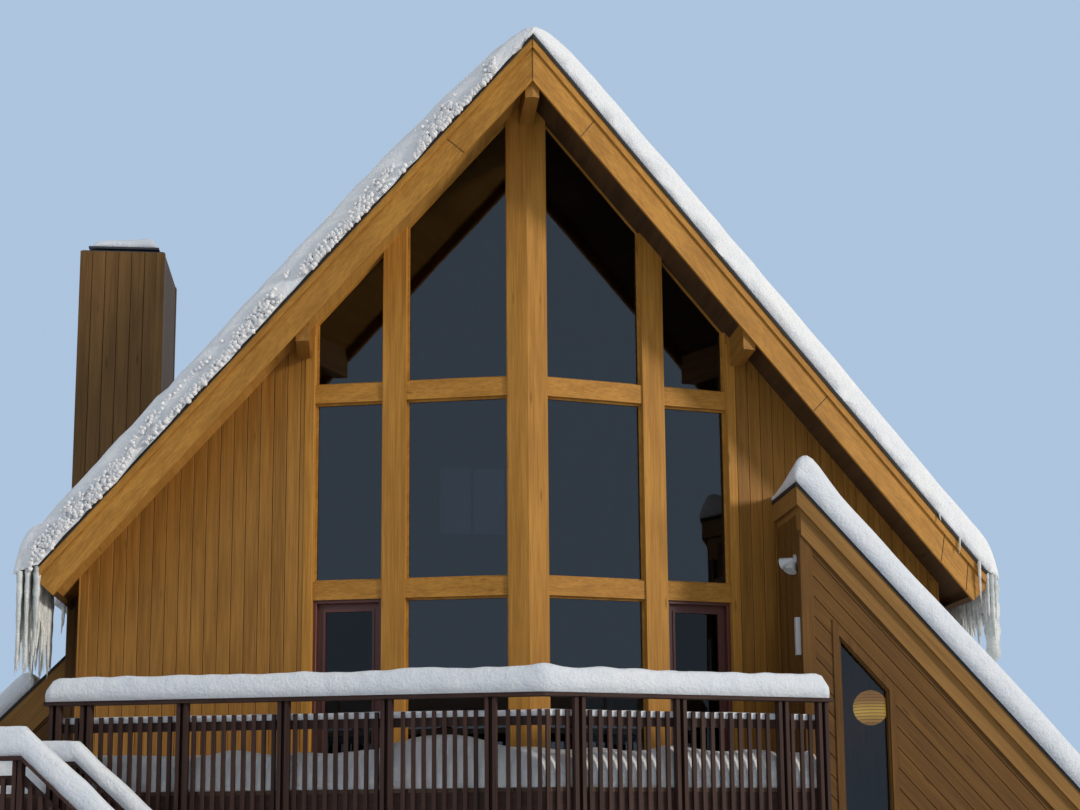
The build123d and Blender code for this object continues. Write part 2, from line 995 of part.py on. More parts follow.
def level_rail(start, end, out):
    """Level guard along the landing between two posts."""
    high = landing_z + stair_cap_low
    top = landing_z + mid_rail_top
    solid = stair_block(start, end, out, out + mid_rail_t, top - mid_rail_v, top)
    count = int((end - start) // baluster_pitch)
    first = start + ((end - start) - (count - 1) * baluster_pitch) / 2
    for index in range(count):
        u = first + index * baluster_pitch
        solid = solid + stair_block(
            u - baluster / 2, u + baluster / 2, out + mid_rail_t, out + mid_rail_t + baluster,
            landing_z - baluster_drop, landing_z + baluster_top - stair_post_w,
        )
    near = out - stair_cap_in
    cap = stair_block(start - stair_post_w, end + stair_post_w, near, near + cap_w, high, high + cap_t_rail)
    return solid, cap


def flight_line(u):
    """Level of the long flight's slope at a distance along the edge."""
    return riser + (u - flight_foot) * (landing_z - riser) / (stair_top - flight_foot)


def sloped_rail(out):
    """Guard beside the long flight: a sloping rail with its balusters, and a sloping cap."""
    start = flight_foot
    end = stair_top

    def bar(low_u, high_u, rise, depth_v, out0, out1):
        """Sloping bar with its top a height above the flight."""
        points = [
            (low_u, flight_line(low_u) + rise), (high_u, flight_line(high_u) + rise),
            (high_u, flight_line(high_u) + rise - depth_v), (low_u, flight_line(low_u) + rise - depth_v),
        ]
        return stair_profile(points, out0, out1)

    solid = bar(start, end, mid_rail_top, mid_rail_v, out, out + mid_rail_t)
    solid = solid + bar(start, end, baluster_foot + mid_rail_v, mid_rail_v, out, out + mid_rail_t)
    count = int((end - start) // baluster_pitch)
    first = start + ((end - start) - (count - 1) * baluster_pitch) / 2
    for index in range(count):
        u = first + index * baluster_pitch
        low = flight_line(u) + baluster_foot
        solid = solid + stair_block(
            u - baluster / 2, u + baluster / 2, out + mid_rail_t, out + mid_rail_t + baluster,
            low, low + baluster_top - baluster_foot - stair_post_w,
        )
    near = out - stair_cap_in
    cap = bar(start - stair_post_w, end, stair_cap_low + cap_t_rail, cap_t_rail, near, near + cap_w)
    return solid, cap


def stair_rails():
    """Rails and caps of the landing and the long flight."""
    outer = stair_sides[1]
    inner = stair_sides[0]
    level_panel, level_cap = level_rail(stair_top + stair_post_w, landing_end - stair_post_w, outer)
    outer_panel, outer_cap = sloped_rail(outer)
    inner_panel, inner_cap = sloped_rail(inner)
    high = landing_z + stair_cap_low
    side_start = stair_out + stair_post_w
    side_end = stair_out + stair_w
    top = landing_z + mid_rail_top
    side = stair_block(landing_end, landing_end + mid_rail_t, side_start, side_end, top - mid_rail_v, top)
    side_cap = stair_block(
        landing_end - stair_cap_in, landing_end + cap_w - stair_cap_in, stair_out, outer - stair_cap_in,
        high, high + cap_t_rail,
    )
    near = inner - stair_cap_in
    back_cap = stair_block(stair_top, short_flight_at, near, near + cap_w, high, high + cap_t_rail)
    caps = [fused(level_cap, outer_cap, side_cap), fused(inner_cap, back_cap)]
    return [level_panel, outer_panel, inner_panel, side], caps


# Lamps

def lamps():
    """Twin flood lamp and slim lamp on the right wing's side wall."""
    x = right_wing_left
    y = right_wing_front / 2
    level = deck_z + flood_rise
    base = Pos(x - flood_base_t / 2, y, level) * Rot(0, 90, 0) * Cylinder(flood_r, flood_base_t)
    for turn, tilt in ((-flood_turn, flood_tilt), (flood_turn, flood_dip)):
        head = Pos(0, 0, -flood_l / 2) * Cone(flood_rim_r, flood_neck_r, flood_l)
        base = base + Pos(x - flood_base_t, y, level) * Rot(0, 0, turn) * Rot(0, 90 - tilt, 0) * head
    base = base & block(-far, x, -far, far, 0, ridge_z)
    low = deck_z + slim_lamp_low
    near = right_wing_front + slim_lamp_w
    slim = block(x - slim_lamp_out, x, near, near + slim_lamp_w, low, low + slim_lamp_v)
    return [base, slim]


def lantern():
    """Round paper lantern on its cord under the right wing's roof."""
    level = deck_z + lantern_rise
    top = right_wing_z(lantern_x, wing_roof_v)
    ball = Pos(lantern_x, lantern_y, level) * Sphere(lantern_r)
    cord = Pos(lantern_x, lantern_y, (level + top) / 2) * Cylinder(lantern_cord_r, top - level)
    return (ball + cord) & under_right_wing()


# Floors of the wings

def right_wing_floor():
    """Ground floor of the right wing."""
    left = right_wing_left + wing_wall
    right = right_wing_right - wing_wall
    near = right_wing_front + wing_wall
    back = right_wing_back - wing_wall
    points = [(left, near), (right, near), (right, back), (half_width, back),
              (half_width, wall_y(half_width)), (left, wall_y(left))]
    return plan(points, 0, wing_floor_t)


def left_wing_floor():
    """Ground floor of the left wing."""
    floor = block(
        half_width, left_wing_left - wing_wall, left_wing_front + wing_wall, left_wing_back - wing_wall,
        0, wing_floor_t,
    )
    return mirrored(floor) - chase_block()


# Snow

def roof_snow():
    """Snow on both slopes, rounded over the ridge and open round the chimney chase."""
    end = roof_half + snow_lip
    outline = [
        (0, ridge_z), (end, roof_z(end)), (end, roof_z(end) + roof_snow_v), (0, ridge_z + roof_snow_v),
        (-end, roof_z(end) + roof_snow_v), (-end, roof_z(end)),
    ]
    layer = elevation(outline, -far / 4, far / 2)
    crest = layer.edges().filter_by(Axis.Y).sort_by(Axis.Z)[-1]
    layer = fillet(crest, ridge_round)
    half = roof_plan(-snow_lip, -snow_lip)
    layer = layer & fused(half, mirrored(half))
    return layer - block(-far, -chase_right, chase_front, chase_back, 0, 2 * ridge_z)


def right_wing_snow():
    """Snow on the right wing's roof."""
    return elevation(right_wing_layer(-wing_snow_v, 0), -far / 4, far / 2) & right_wing_plan(snow_lip)


def left_wing_snow():
    """Snow on the left wing's roof, clear of the chimney chase."""
    return left_wing_slab(
        -wing_snow_v, 0, left_wing_front - wing_barge_t - snow_lip, left_wing_back + wing_eave
    )


def rail_snow():
    """Snow along the deck's rail cap, rounded on top."""
    near = -cap_edge() - rail_snow_lap
    wide = cap_w + 2 * rail_snow_lap
    low = deck_z + cap_low + cap_t_rail
    halves = []
    for posts in (rail_posts_right, rail_posts_left):
        ridge = along_deck(-wide, cap_reach(posts), near, near + wide, low, low + rail_snow_v)
        ridge = fillet(ridge.faces().sort_by(Axis.Z)[-1].edges().sort_by(SortBy.LENGTH)[-2:], wide * 0.35)
        halves.append(ridge & block(0, far, -far, far, 0, ridge_z))
    return fused(halves[0], mirrored(halves[1]))


def chimney_snow():
    """Low heap of snow on the chimney's lid."""
    low = chase_z + cap_gap + cap_t
    half = chase_w / 2 - cap_foot / 2
    ball_r = (half ** 2 + chimney_snow_v ** 2) / (2 * chimney_snow_v)
    centre = (-chase_left + chase_w / 2, chase_front + chase_l / 2, low + chimney_snow_v - ball_r)
    return Pos(*centre) * Sphere(ball_r) & block(-far, far, -far, far, low, 2 * ridge_z)


def build():
    """Write every node."""
    os.makedirs("parts", exist_ok=True)
    siding = front_siding()
    save("front_wall_right", siding)
    save("front_wall_left", mirrored(siding))
    base = front_base()
    save("front_base", base, mirrored(base))
    wall = side_wall()
    save("right_wall", wall)
    save("left_wall", *(mirrored(wall) - chase_block()).solids())
    save("back_wall", back_wall())
    save("floors", main_floor(), right_wing_floor(), left_wing_floor())

    save("centre_post", centre_post())
    mullion = front_post(mullion_at, mullion_w)
    jamb = front_post(jamb_at, jamb_w)
    save("front_posts", mullion, mirrored(mullion), jamb, mirrored(jamb))
    upper = transoms(upper_transom_top, upper_transom_v)
    lower = transoms(lower_transom_top, lower_transom_v)
    save("transoms", *upper, *lower)
    sill = along_front(centre_half, mullion_at, 0, post_depth, deck_z, deck_z + glazing_sill_v)
    threshold = door_sill()
    save("front_sills", sill, mirrored(sill), threshold, mirrored(threshold))
    inner_bay = (centre_half, mullion_at)
    outer_bay = (mullion_end, jamb_at)
    middle_high = upper_transom_top - upper_transom_v
    sheets = pane_row(glazing_sill_v, door_head, [inner_bay])
    sheets += pane_row(lower_transom_top, middle_high, [inner_bay, outer_bay])
    sheets += pane_row(upper_transom_top, ridge_rise, [inner_bay, outer_bay])
    save("front_glass", *sheets)
    middle = body_back - wall_t / 2
    glazing = [
        back_window_block(x, sill, middle - glass_t / 2, middle + glass_t / 2) for x, sill in back_windows()
    ]
    centre = right_wing_front + wing_wall / 2
    save("window_glass", *glazing, window_shape(centre - glass_t / 2, centre + glass_t / 2))

    leaf = door_leaf()
    save("right_door", leaf)
    save("left_door", mirrored(leaf))
    glass = door_glass()
    save("right_door_glass", glass)
    save("left_door_glass", mirrored(glass))
    handles = door_handles()
    save("right_door_handle", *handles)
    save("left_door_handle", *[mirrored(piece) for piece in handles])
    hinges = door_hinges()
    save("door_hinges", *hinges, *[mirrored(piece) for piece in hinges])

    slab = roof_slab()
    eave_notch = block(-far, -chase_right, chase_front, chase_back, 0, 2 * ridge_z)
    save("roof_right", slab)
    save("roof_left", mirrored(slab) - eave_notch)
    barge = front_barge()
    rear = back_barge()
    save("right_barge", barge, rear)
    save("left_barge", mirrored(barge), mirrored(rear))
    fascia = eave_fascia()
    save("eave_fascias", fascia, *(mirrored(fascia) - eave_notch).solids())
    purlin = purlin_end()
    save("roof_beams", ridge_beam(), purlin, mirrored(purlin), tie_beam())
    save("chimney_chase", chase())
    save("chimney_cap", chimney_cap())

    save("right_wing_front", right_wing_front_wall())
    save("right_wing_side", right_wing_side_wall())
    save("right_wing_trim", right_wing_trim())
    save("left_wing_front", left_wing_piece(
        half_width, left_wing_left, left_wing_front, left_wing_front + wing_wall,
    ))
    left_roof = left_wing_slab(0, wing_roof_v, left_wing_front, left_wing_back + wing_eave)
    save("wing_roofs", right_wing_roof(), left_roof)
    save("left_wing_trim", left_wing_slab(0, wing_barge_v, left_wing_front - wing_barge_t, left_wing_front))
    left_outer = left_wing_piece(
        left_wing_left - wing_wall, left_wing_left,
        left_wing_front + wing_wall, left_wing_back - wing_wall,
    )
    left_rear = left_wing_piece(half_width, left_wing_left, left_wing_back - wing_wall, left_wing_back)
    save("wing_outer_walls", right_wing_outer_wall(), left_outer)
    save("wing_rear_walls", right_wing_back_wall(), left_rear)

    save("deck_boards", deck_boards())
    save("deck_rims", rims())
    save("deck_joists", *joists())
    save("deck_beams", *deck_beams())
    posts = [deck_post_at(u) for u in deck_posts_right]
    posts += [mirrored(deck_post_at(u)) for u in deck_posts_left]
    save("deck_posts", *posts)

    rail_posts = [rail_post_at(u) for u in rail_posts_right]
    rail_posts += [mirrored(rail_post_at(u)) for u in rail_posts_left]
    save("rail_posts", *rail_posts)
    cap_left = mirrored(rail_cap(cap_reach(rail_posts_left)))
    save("rail_cap", fused(rail_cap(cap_reach(rail_posts_right)), cap_left))
    panels = [panel(*bay) for bay in zip(rail_posts_right, rail_posts_right[1:])]
    panels += [mirrored(panel(*bay)) for bay in zip(rail_posts_left, rail_posts_left[1:])]
    save("rail_panels", tip_panel(), *panels)
    save("end_rail", end_rail())

    save("stair_landing", mirrored(landing()))
    save("stair_treads", *[mirrored(piece) for piece in short_treads() + long_treads()])
    boards = [stringer(out) for out in (stair_out, stair_out + stair_w - stringer_t)]
    boards += [short_stringer(u) for u in (short_flight_at, landing_end - stringer_t)]
    save("stair_stringers", *[mirrored(piece) for piece in boards])
    save("stair_posts", *[mirrored(piece) for piece in stair_posts()])
    rails, caps = stair_rails()
    save("stair_rails", *[mirrored(piece) for piece in rails])
    save("stair_caps", *[mirrored(piece) for piece in caps])

    save("wall_lamps", *lamps())
    save("lantern", lantern())
    save("roof_snow", roof_snow())
    save("wing_snow", right_wing_snow(), left_wing_snow())
    save("cap_snow", rail_snow(), chimney_snow())


if __name__ == "__main__":
    build()
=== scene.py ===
import logging
import math
import random
from dataclasses import dataclass
from enum import Enum
from typing import Callable, Sequence, Union

import bmesh
import bpy
from mathutils import Matrix, Vector, noise


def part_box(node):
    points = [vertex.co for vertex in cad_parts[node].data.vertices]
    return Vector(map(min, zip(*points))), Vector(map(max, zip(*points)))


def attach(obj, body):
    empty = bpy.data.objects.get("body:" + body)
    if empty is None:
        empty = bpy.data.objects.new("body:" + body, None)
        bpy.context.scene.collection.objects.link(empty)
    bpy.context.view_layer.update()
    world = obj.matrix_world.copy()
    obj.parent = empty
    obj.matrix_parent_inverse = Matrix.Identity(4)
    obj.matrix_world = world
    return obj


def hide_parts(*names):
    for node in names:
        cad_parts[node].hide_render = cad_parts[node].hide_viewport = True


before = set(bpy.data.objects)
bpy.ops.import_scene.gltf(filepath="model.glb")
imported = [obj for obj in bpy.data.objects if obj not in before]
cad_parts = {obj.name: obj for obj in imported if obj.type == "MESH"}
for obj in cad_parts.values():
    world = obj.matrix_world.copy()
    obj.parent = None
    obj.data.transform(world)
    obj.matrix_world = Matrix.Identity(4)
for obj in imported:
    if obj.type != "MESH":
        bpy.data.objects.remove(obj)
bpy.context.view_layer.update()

"""Looks of a prow-fronted A-frame cabin in winter, built round its construction model.

Metres, Z up, X to the right, Y into the building. The origin is the centre of the foot
of the centre post of the glazed front.
"""

LOG = logging.getLogger("cabin")

Colour = tuple[float, float, float]
Pair = tuple[float, float]
Term = Union["Signal", float, int, tuple]

UP = Vector((0, 0, 1))
RIGHT = Vector((1, 0, 0))
INWARD = Vector((0, 1, 0))


@dataclass(frozen=True)
class Build:
    """Sizes of the cabin that several pieces share."""

    deck_z: float = 2.47
    ridge_z: float = 10.48
    slope: float = 1.075
    half_width: float = 4.83
    prow_run: float = 0.258
    prow_reach: float = 0.12
    roof_half: float = 5.18
    roof_front: float = 0.806
    roof_back: float = 0.62
    body_back: float = 9.5
    roof_v: float = 0.4
    deck_tip: float = -1.475
    deck_run: float = 0.27
    chase: tuple[float, float, float, float] = (-5.05, -4.12, 1.7, 3.1)
    right_wing_top: float = 5.7
    right_wing_edge: float = 2.82
    right_wing_slope: float = 1.11
    left_wing_top: float = 4.11
    left_wing_slope: float = 1.02
    right_nose: float = 0.165
    left_nose: float = 0.27
    lantern: tuple[float, float, float] = (3.755, 0.27, 3.36)

    def roof_z(self, x: float) -> float:
        """Level of the main roof's top surface."""
        return self.ridge_z - self.slope * abs(x)

    def wall_y(self, x: float) -> float:
        """Outer face of the glazed front."""
        return self.prow_run * abs(x) - self.prow_reach

    def rake_y(self, x: float) -> float:
        """Front edge of the main roof."""
        return self.wall_y(x) - self.roof_front

    def deck_y(self, x: float) -> float:
        """Outer edge of the deck."""
        return self.deck_run * abs(x) + self.deck_tip

    def right_wing_z(self, x: float) -> float:
        """Level of the right wing's roof."""
        return self.right_wing_top - self.right_wing_slope * (x - self.right_wing_edge)

    def left_wing_z(self, x: float) -> float:
        """Level of the left wing's roof."""
        return self.left_wing_top + self.left_wing_slope * (x - self.chase[0])

    def nose(self, x: float) -> float:
        """How far the snow hangs past the eave on that side."""
        return self.right_nose if x > 0 else self.left_nose

    def front_face(self, side: int) -> Vector:
        """Outward normal of the glazed front on its right (1) or left (-1) half."""
        return Vector((side * self.prow_run, -1, 0)) / math.hypot(1, self.prow_run)

    def front_way(self, side: int) -> Vector:
        """Direction along the glazed front, away from its arris."""
        return Vector((side, self.prow_run, 0)) / math.hypot(1, self.prow_run)

    def front_point(self, u: float, depth: float, z: float, side: int = 1) -> Vector:
        """Point of the glazed front.

        Args:
            u: Distance along the wall from the arris.
            depth: Distance behind the wall's outer face.
            z: Level.
            side: 1 on the right half and -1 on the left half.

        Returns:
            The point in the cabin's frame.
        """
        scale = math.hypot(1, self.prow_run)
        x = (u - self.prow_run * depth) / scale
        y = (self.prow_run * u + depth) / scale - self.prow_reach
        return Vector((side * x, y, z))

    def deck_point(self, u: float, out: float, z: float, side: int = 1) -> Vector:
        """Point beside the deck's edge.

        Args:
            u: Distance along the edge from its point.
            out: Distance outward from the edge.
            z: Level.
            side: 1 on the right half and -1 on the left half.

        Returns:
            The point in the cabin's frame.
        """
        scale = math.hypot(1, self.deck_run)
        x = (u + self.deck_run * out) / scale
        y = (self.deck_run * u - out) / scale + self.deck_tip
        return Vector((side * x, y, z))


CABIN = Build()


class Body(Enum):
    """Bodies that pieces ride on."""

    HOUSE = "root"
    LEFT_DOOR = "left_door"
    RIGHT_DOOR = "right_door"


class Signal:
    """A shader socket that takes part in Python arithmetic."""

    def __init__(self, shader: "Graph", socket: bpy.types.NodeSocket) -> None:
        """Wrap one output socket of a node tree."""
        self.shader = shader
        self.socket = socket

    def math(self, operation: str, *terms: Term) -> "Signal":
        """Result of one Math node on the given terms."""
        return self.shader.node("ShaderNodeMath", {"operation": operation}, dict(enumerate(terms)))

    def __add__(self, other: Term) -> "Signal":
        """Sum."""
        return self.math("ADD", self, other)

    def __radd__(self, other: Term) -> "Signal":
        """Sum with a number on the left."""
        return self.math("ADD", other, self)

    def __sub__(self, other: Term) -> "Signal":
        """Difference."""
        return self.math("SUBTRACT", self, other)

    def __rsub__(self, other: Term) -> "Signal":
        """Difference from a number on the left."""
        return self.math("SUBTRACT", other, self)

    def __mul__(self, other: Term) -> "Signal":
        """Product."""
        return self.math("MULTIPLY", self, other)

    def __rmul__(self, other: Term) -> "Signal":
        """Product with a number on the left."""
        return self.math("MULTIPLY", other, self)

    def __truediv__(self, other: Term) -> "Signal":
        """Quotient."""
        return self.math("DIVIDE", self, other)

    def __abs__(self) -> "Signal":
        """Size without sign."""
        return self.math("ABSOLUTE", self)

    def floor(self) -> "Signal":
        """Whole part."""
        return self.math("FLOOR", self)

    def fract(self) -> "Signal":
        """Part after the whole number."""
        return self.math("FRACT", self)

    def clamp(self) -> "Signal":
        """Value held between 0 and 1."""
        return self.math("MINIMUM", self.math("MAXIMUM", self, 0.0), 1.0)

    def step(self, low: float, high: float) -> "Signal":
        """Smooth rise from 0 at low to 1 at high."""
        return self.shader.node(
            "ShaderNodeMapRange", {"interpolation_type": "SMOOTHSTEP"},
            {"Value": self, "From Min": low, "From Max": high},
        )


class Graph:
    """Node tree that is filled by one method."""

    def __init__(self, tree: bpy.types.NodeTree) -> None:
        """Take a tree to fill."""
        self.tree = tree

    def node(self, kind: str, settings: dict, sockets: dict, output: Union[int, str] = 0) -> Signal:
        """Add one node.

        Args:
            kind: Blender's type name of the node.
            settings: Properties that are set first.
            sockets: Values or signals of the inputs, by name or index.
            output: Name or index of the output that is wanted.

        Returns:
            The chosen output as a signal.
        """
        made = self.tree.nodes.new(kind)
        for key, value in settings.items():
            setattr(made, key, value)
        for key, value in sockets.items():
            self.feed(made.inputs[key], value)
        return Signal(self, made.outputs[output])

    def feed(self, socket: bpy.types.NodeSocket, value: Term) -> None:
        """Link a signal to a socket, or set its value.

        Args:
            socket: The input that is fed.
            value: A signal, a number, or a colour in three parts.
        """
        if isinstance(value, Signal):
            self.tree.links.new(value.socket, socket)
        elif socket.type == "RGBA":
            socket.default_value = (*value, 1.0)
        else:
            socket.default_value = value


class Shader(Graph):
    """Node tree of one material round its Principled shader."""

    def __init__(self, name: str) -> None:
        """Start a material of that name."""
        self.material = bpy.data.materials.new(name)
        self.material.use_nodes = True
        super().__init__(self.material.node_tree)
        self.surface = self.tree.nodes["Principled BSDF"]

    def place(self) -> Signal:
        """Position on the cabin in metres."""
        return self.node("ShaderNodeTexCoord", {}, {}, "Object")

    def along(self, place: Signal, direction: Sequence[float]) -> Signal:
        """Distance of a place along a direction."""
        return self.node(
            "ShaderNodeVectorMath", {"operation": "DOT_PRODUCT"}, {0: place, 1: tuple(direction)}, "Value"
        )

    def point(self, x: Term, y: Term, z: Term) -> Signal:
        """Vector from three values."""
        return self.node("ShaderNodeCombineXYZ", {}, {0: x, 1: y, 2: z})

    def noise(self, place: Signal, scale: float, detail: float = 4.0, rough: float = 0.55) -> Signal:
        """Fractal noise between about 0 and 1."""
        return self.node(
            "ShaderNodeTexNoise", {},
            {"Vector": place, "Scale": scale, "Detail": detail, "Roughness": rough},
        )

    def speckle(self, value: Signal) -> Signal:
        """Random number for each value."""
        return self.node("ShaderNodeTexWhiteNoise", {"noise_dimensions": "1D"}, {"W": value}, "Value")

    def mix(self, share: Term, first: Term, second: Term, blend: str = "MIX") -> Signal:
        """Blend of two colours."""
        settings = {"data_type": "RGBA", "blend_type": blend}
        return self.node("ShaderNodeMix", settings, {0: share, 6: first, 7: second}, 2)

    def relief(self, height: Signal, distance: float, strength: float = 1.0) -> None:
        """Bump that feeds the surface's normal."""
        bump = self.node(
            "ShaderNodeBump", {}, {"Height": height, "Distance": distance, "Strength": strength}, "Normal"
        )
        self.feed(self.surface.inputs["Normal"], bump)

    def finish(self, **sockets: Term) -> bpy.types.Material:
        """Set the surface's sockets, named with underscores for spaces.

        Args:
            **sockets: Values or signals of the Principled shader.

        Returns:
            The finished material.
        """
        for key, value in sockets.items():
            self.feed(self.surface.inputs[key.replace("_", " ")], value)
        return self.material


RAKE_RUN = Vector((1, 0, -CABIN.slope)).normalized()
RAKE_ACROSS = Vector((CABIN.slope, 0, 1)).normalized()


@dataclass(frozen=True)
class StainedWood:
    """Boards or timbers under a see-through stain.

    The grain runs along one direction, and each board across it has its own tone.
    """

    name: str
    light: Colour
    dark: Colour
    run: Sequence[float] = (0, 0, 1)
    across: Sequence[float] = (1, 0, 0)
    board: float = 0.15
    shift: float = 0.0
    mirrored: bool = False
    groove: float = 0.0
    knots: float = 0.6
    weather: float = 0.25
    gloss: float = 0.42
    tone: float = 0.16
    shine: float = 0.3

    def material(self) -> bpy.types.Material:
        """Build the stain, its grain, its knots and its wear.

        Returns:
            The finished material.
        """
        shader = Shader(self.name)
        place = shader.place()
        if self.mirrored:
            x = shader.along(place, (1, 0, 0))
            y = shader.along(place, (0, 1, 0))
            z = shader.along(place, (0, 0, 1))
            place = shader.point(abs(x), y, z)
        along = shader.along(place, self.run)
        across = shader.along(place, self.across)
        depth_way = Vector(self.run).cross(Vector(self.across))
        depth = shader.along(place, depth_way)
        number = ((across + self.shift) / self.board).floor()
        own = shader.speckle(number)
        start = own * 41.0
        streaks = shader.noise(shader.point(across * 55.0, along * 1.5 + start, depth * 55.0), 1.0, 6.0, 0.62)
        bands = shader.noise(shader.point(across * 9.0 + start, along * 0.55 + start, depth * 9.0), 1.0, 4.0)
        pores = shader.noise(shader.point(across * 260.0, along * 9.0 + start, depth * 260.0), 1.0, 2.0)
        grain = (streaks * 0.55 + bands * 0.45).step(0.33, 0.68)
        cell = shader.node(
            "ShaderNodeTexVoronoi", {"feature": "F1"},
            {"Vector": shader.point(across * 5.5 + start, along * 1.1 + start, depth * 5.5), "Scale": 1.0},
            "Distance",
        )
        knot = (1 - cell.step(0.03, 0.11)) * self.knots
        fade = shader.noise(place, 0.8, 3.0).step(0.3, 0.75)
        colour = shader.mix(grain, self.dark, self.light)
        level = (1 - self.tone * 0.5) + own * self.tone - pores * 0.10
        shade = shader.node("ShaderNodeCombineColor", {}, {0: level, 1: level, 2: level})
        colour = shader.mix(1.0, colour, shade, "MULTIPLY")
        deep = tuple(part * 0.42 for part in self.dark)
        colour = shader.mix(knot, colour, deep)
        colour = shader.mix(fade * self.weather, colour, tuple(part * 0.72 for part in self.dark))
        height = streaks * 0.7 + pores * 0.3 - knot * 0.4
        if self.groove:
            edge = abs(((across + self.shift) / self.board).fract() - 0.5)
            line = edge.step(0.5 - self.groove / self.board, 0.5 - self.groove / self.board * 0.35)
            colour = shader.mix(line * 0.85, colour, tuple(part * 0.25 for part in self.dark))
            height = height - line * 3.0
        shader.relief(height, 0.0012)
        rough = (1 - self.gloss) + streaks * 0.2 + knot * 0.1 - 0.1
        return shader.finish(
            Base_Color=colour, Roughness=rough.clamp(), IOR=1.42, Specular_IOR_Level=self.shine
        )


@dataclass(frozen=True)
class DoorPaint:
    """Brushed opaque coat on a door, worn at its lower edge."""

    name: str
    colour: Colour
    wear: Colour

    def material(self) -> bpy.types.Material:
        """Build the coat with its brush marks and scuffs.

        Returns:
            The finished material.
        """
        shader = Shader(self.name)
        place = shader.place()
        z = shader.along(place, (0, 0, 1))
        brush = shader.noise(shader.point(shader.along(place, (1, 0.3, 0)) * 70.0, z * 3.0, 0.0), 1.0, 4.0)
        patch = shader.noise(place, 2.6, 4.0).step(0.45, 0.8)
        scuff = shader.noise(place, 30.0, 5.0).step(0.62, 0.7)
        scuff = scuff * (1 - z.step(CABIN.deck_z, CABIN.deck_z + 0.5))
        colour = shader.mix(patch * 0.5, self.colour, tuple(part * 0.6 for part in self.colour))
        colour = shader.mix(scuff * 0.7, colour, self.wear)
        shader.relief(brush, 0.0007)
        return shader.finish(Base_Color=colour, Roughness=0.34 + brush * 0.22, IOR=1.48)


@dataclass(frozen=True)
class CoatedMetal:
    """Painted or bare metal with faint dents and dust."""

    name: str
    colour: Colour
    metal: float = 0.0
    rough: float = 0.4
    dust: float = 0.3

    def material(self) -> bpy.types.Material:
        """Build the coat with its dents and dust.

        Returns:
            The finished material.
        """
        shader = Shader(self.name)
        place = shader.place()
        dents = shader.noise(place, 7.0, 3.0)
        fine = shader.noise(place, 160.0, 3.0)
        dust = shader.noise(place, 3.2, 6.0).step(0.42, 0.78) * self.dust
        grey = tuple(0.5 * part + 0.12 for part in self.colour)
        colour = shader.mix(dust, self.colour, grey)
        shader.relief(dents * 0.8 + fine * 0.06, 0.002)
        return shader.finish(
            Base_Color=colour, Metallic=self.metal * (1 - dust),
            Roughness=self.rough + dust * 0.5 + fine * 0.1,
        )


@dataclass(frozen=True)
class Pane:
    """Window glass, dark from outside, with a thin film of dust."""

    name: str
    tint: Colour = (0.16, 0.18, 0.19)
    ior: float = 1.5

    def material(self) -> bpy.types.Material:
        """Build the glass and its film.

        Returns:
            The finished material.
        """
        shader = Shader(self.name)
        place = shader.place()
        z = shader.along(place, (0, 0, 1))
        film = shader.noise(shader.point(shader.along(place, (1, 1, 0)) * 5.0, z * 1.2, 0.0), 1.0, 6.0)
        specks = shader.noise(place, 55.0, 5.0, 0.7).step(0.66, 0.74)
        waves = shader.noise(place, 1.7, 2.0)
        colour = shader.mix(film.step(0.45, 0.85) * 0.35, self.tint, tuple(part * 1.7 for part in self.tint))
        shader.relief(waves, 0.004, 0.35)
        return shader.finish(
            Base_Color=colour, Roughness=0.015 + film.step(0.5, 0.9) * 0.05 + specks * 0.12,
            Transmission_Weight=1.0, IOR=self.ior,
        )


@dataclass(frozen=True)
class SettledSnow:
    """Deep snow that has settled, with lumps, a crust and painted bluish shade in its hollows."""

    name: str
    # The default colours are the shaded copy of the snow, with painted shade.
    white: Colour = (0.80, 0.83, 0.88)
    painted_shade: Colour = (0.60, 0.67, 0.78)
    grain: float = 0.009

    def material(self) -> bpy.types.Material:
        """Build the lumps, the crust, the grain and the painted bluish shade.

        Returns:
            The finished material.
        """
        shader = Shader(self.name)
        place = shader.place()
        broad = shader.noise(place, 0.7, 4.0)
        lumps = shader.noise(place, 6.5, 5.0, 0.55)
        crust = shader.noise(place, 34.0, 6.0, 0.62)
        grains = shader.noise(place, 420.0, 2.0)
        # Painted shade: bluish where the noise marks the lumps' hollows and broad dips, less where the crust
        # is.
        shade = (1 - lumps.step(0.3, 0.65)) * 0.3 + (1 - broad.step(0.3, 0.7)) * 0.4
        colour = shader.mix(shade * (1 - crust.step(0.3, 0.6) * 0.4), self.white, self.painted_shade)
        shader.relief(lumps * 1.4 + crust * 0.8 + grains * 0.12, self.grain * 2.4, 0.85)
        shader.surface.subsurface_method = "RANDOM_WALK"
        return shader.finish(
            Base_Color=colour, Roughness=0.52 + crust * 0.25, IOR=1.31,
            Subsurface_Weight=0.22, Subsurface_Scale=0.05, Subsurface_Radius=(0.6, 0.8, 1.0),
        )


@dataclass(frozen=True)
class Ice:
    """Milky ice of the icicles."""

    name: str

    def material(self) -> bpy.types.Material:
        """Build the ice with its ripples and milky patches.

        Returns:
            The finished material.
        """
        shader = Shader(self.name)
        place = shader.place()
        ripple = shader.noise(shader.point(
            shader.along(place, (1, 0, 0)) * 12.0, shader.along(place, (0, 1, 0)) * 12.0,
            shader.along(place, (0, 0, 1)) * 45.0,
        ), 1.0, 3.0)
        milk = shader.noise(place, 6.0, 4.0).step(0.35, 0.7)
        colour = shader.mix(milk, (0.62, 0.65, 0.65), (0.86, 0.88, 0.87))
        shader.relief(ripple, 0.008)
        return shader.finish(
            Base_Color=colour, Roughness=0.12 + milk * 0.3, Transmission_Weight=0.2, IOR=1.31
        )


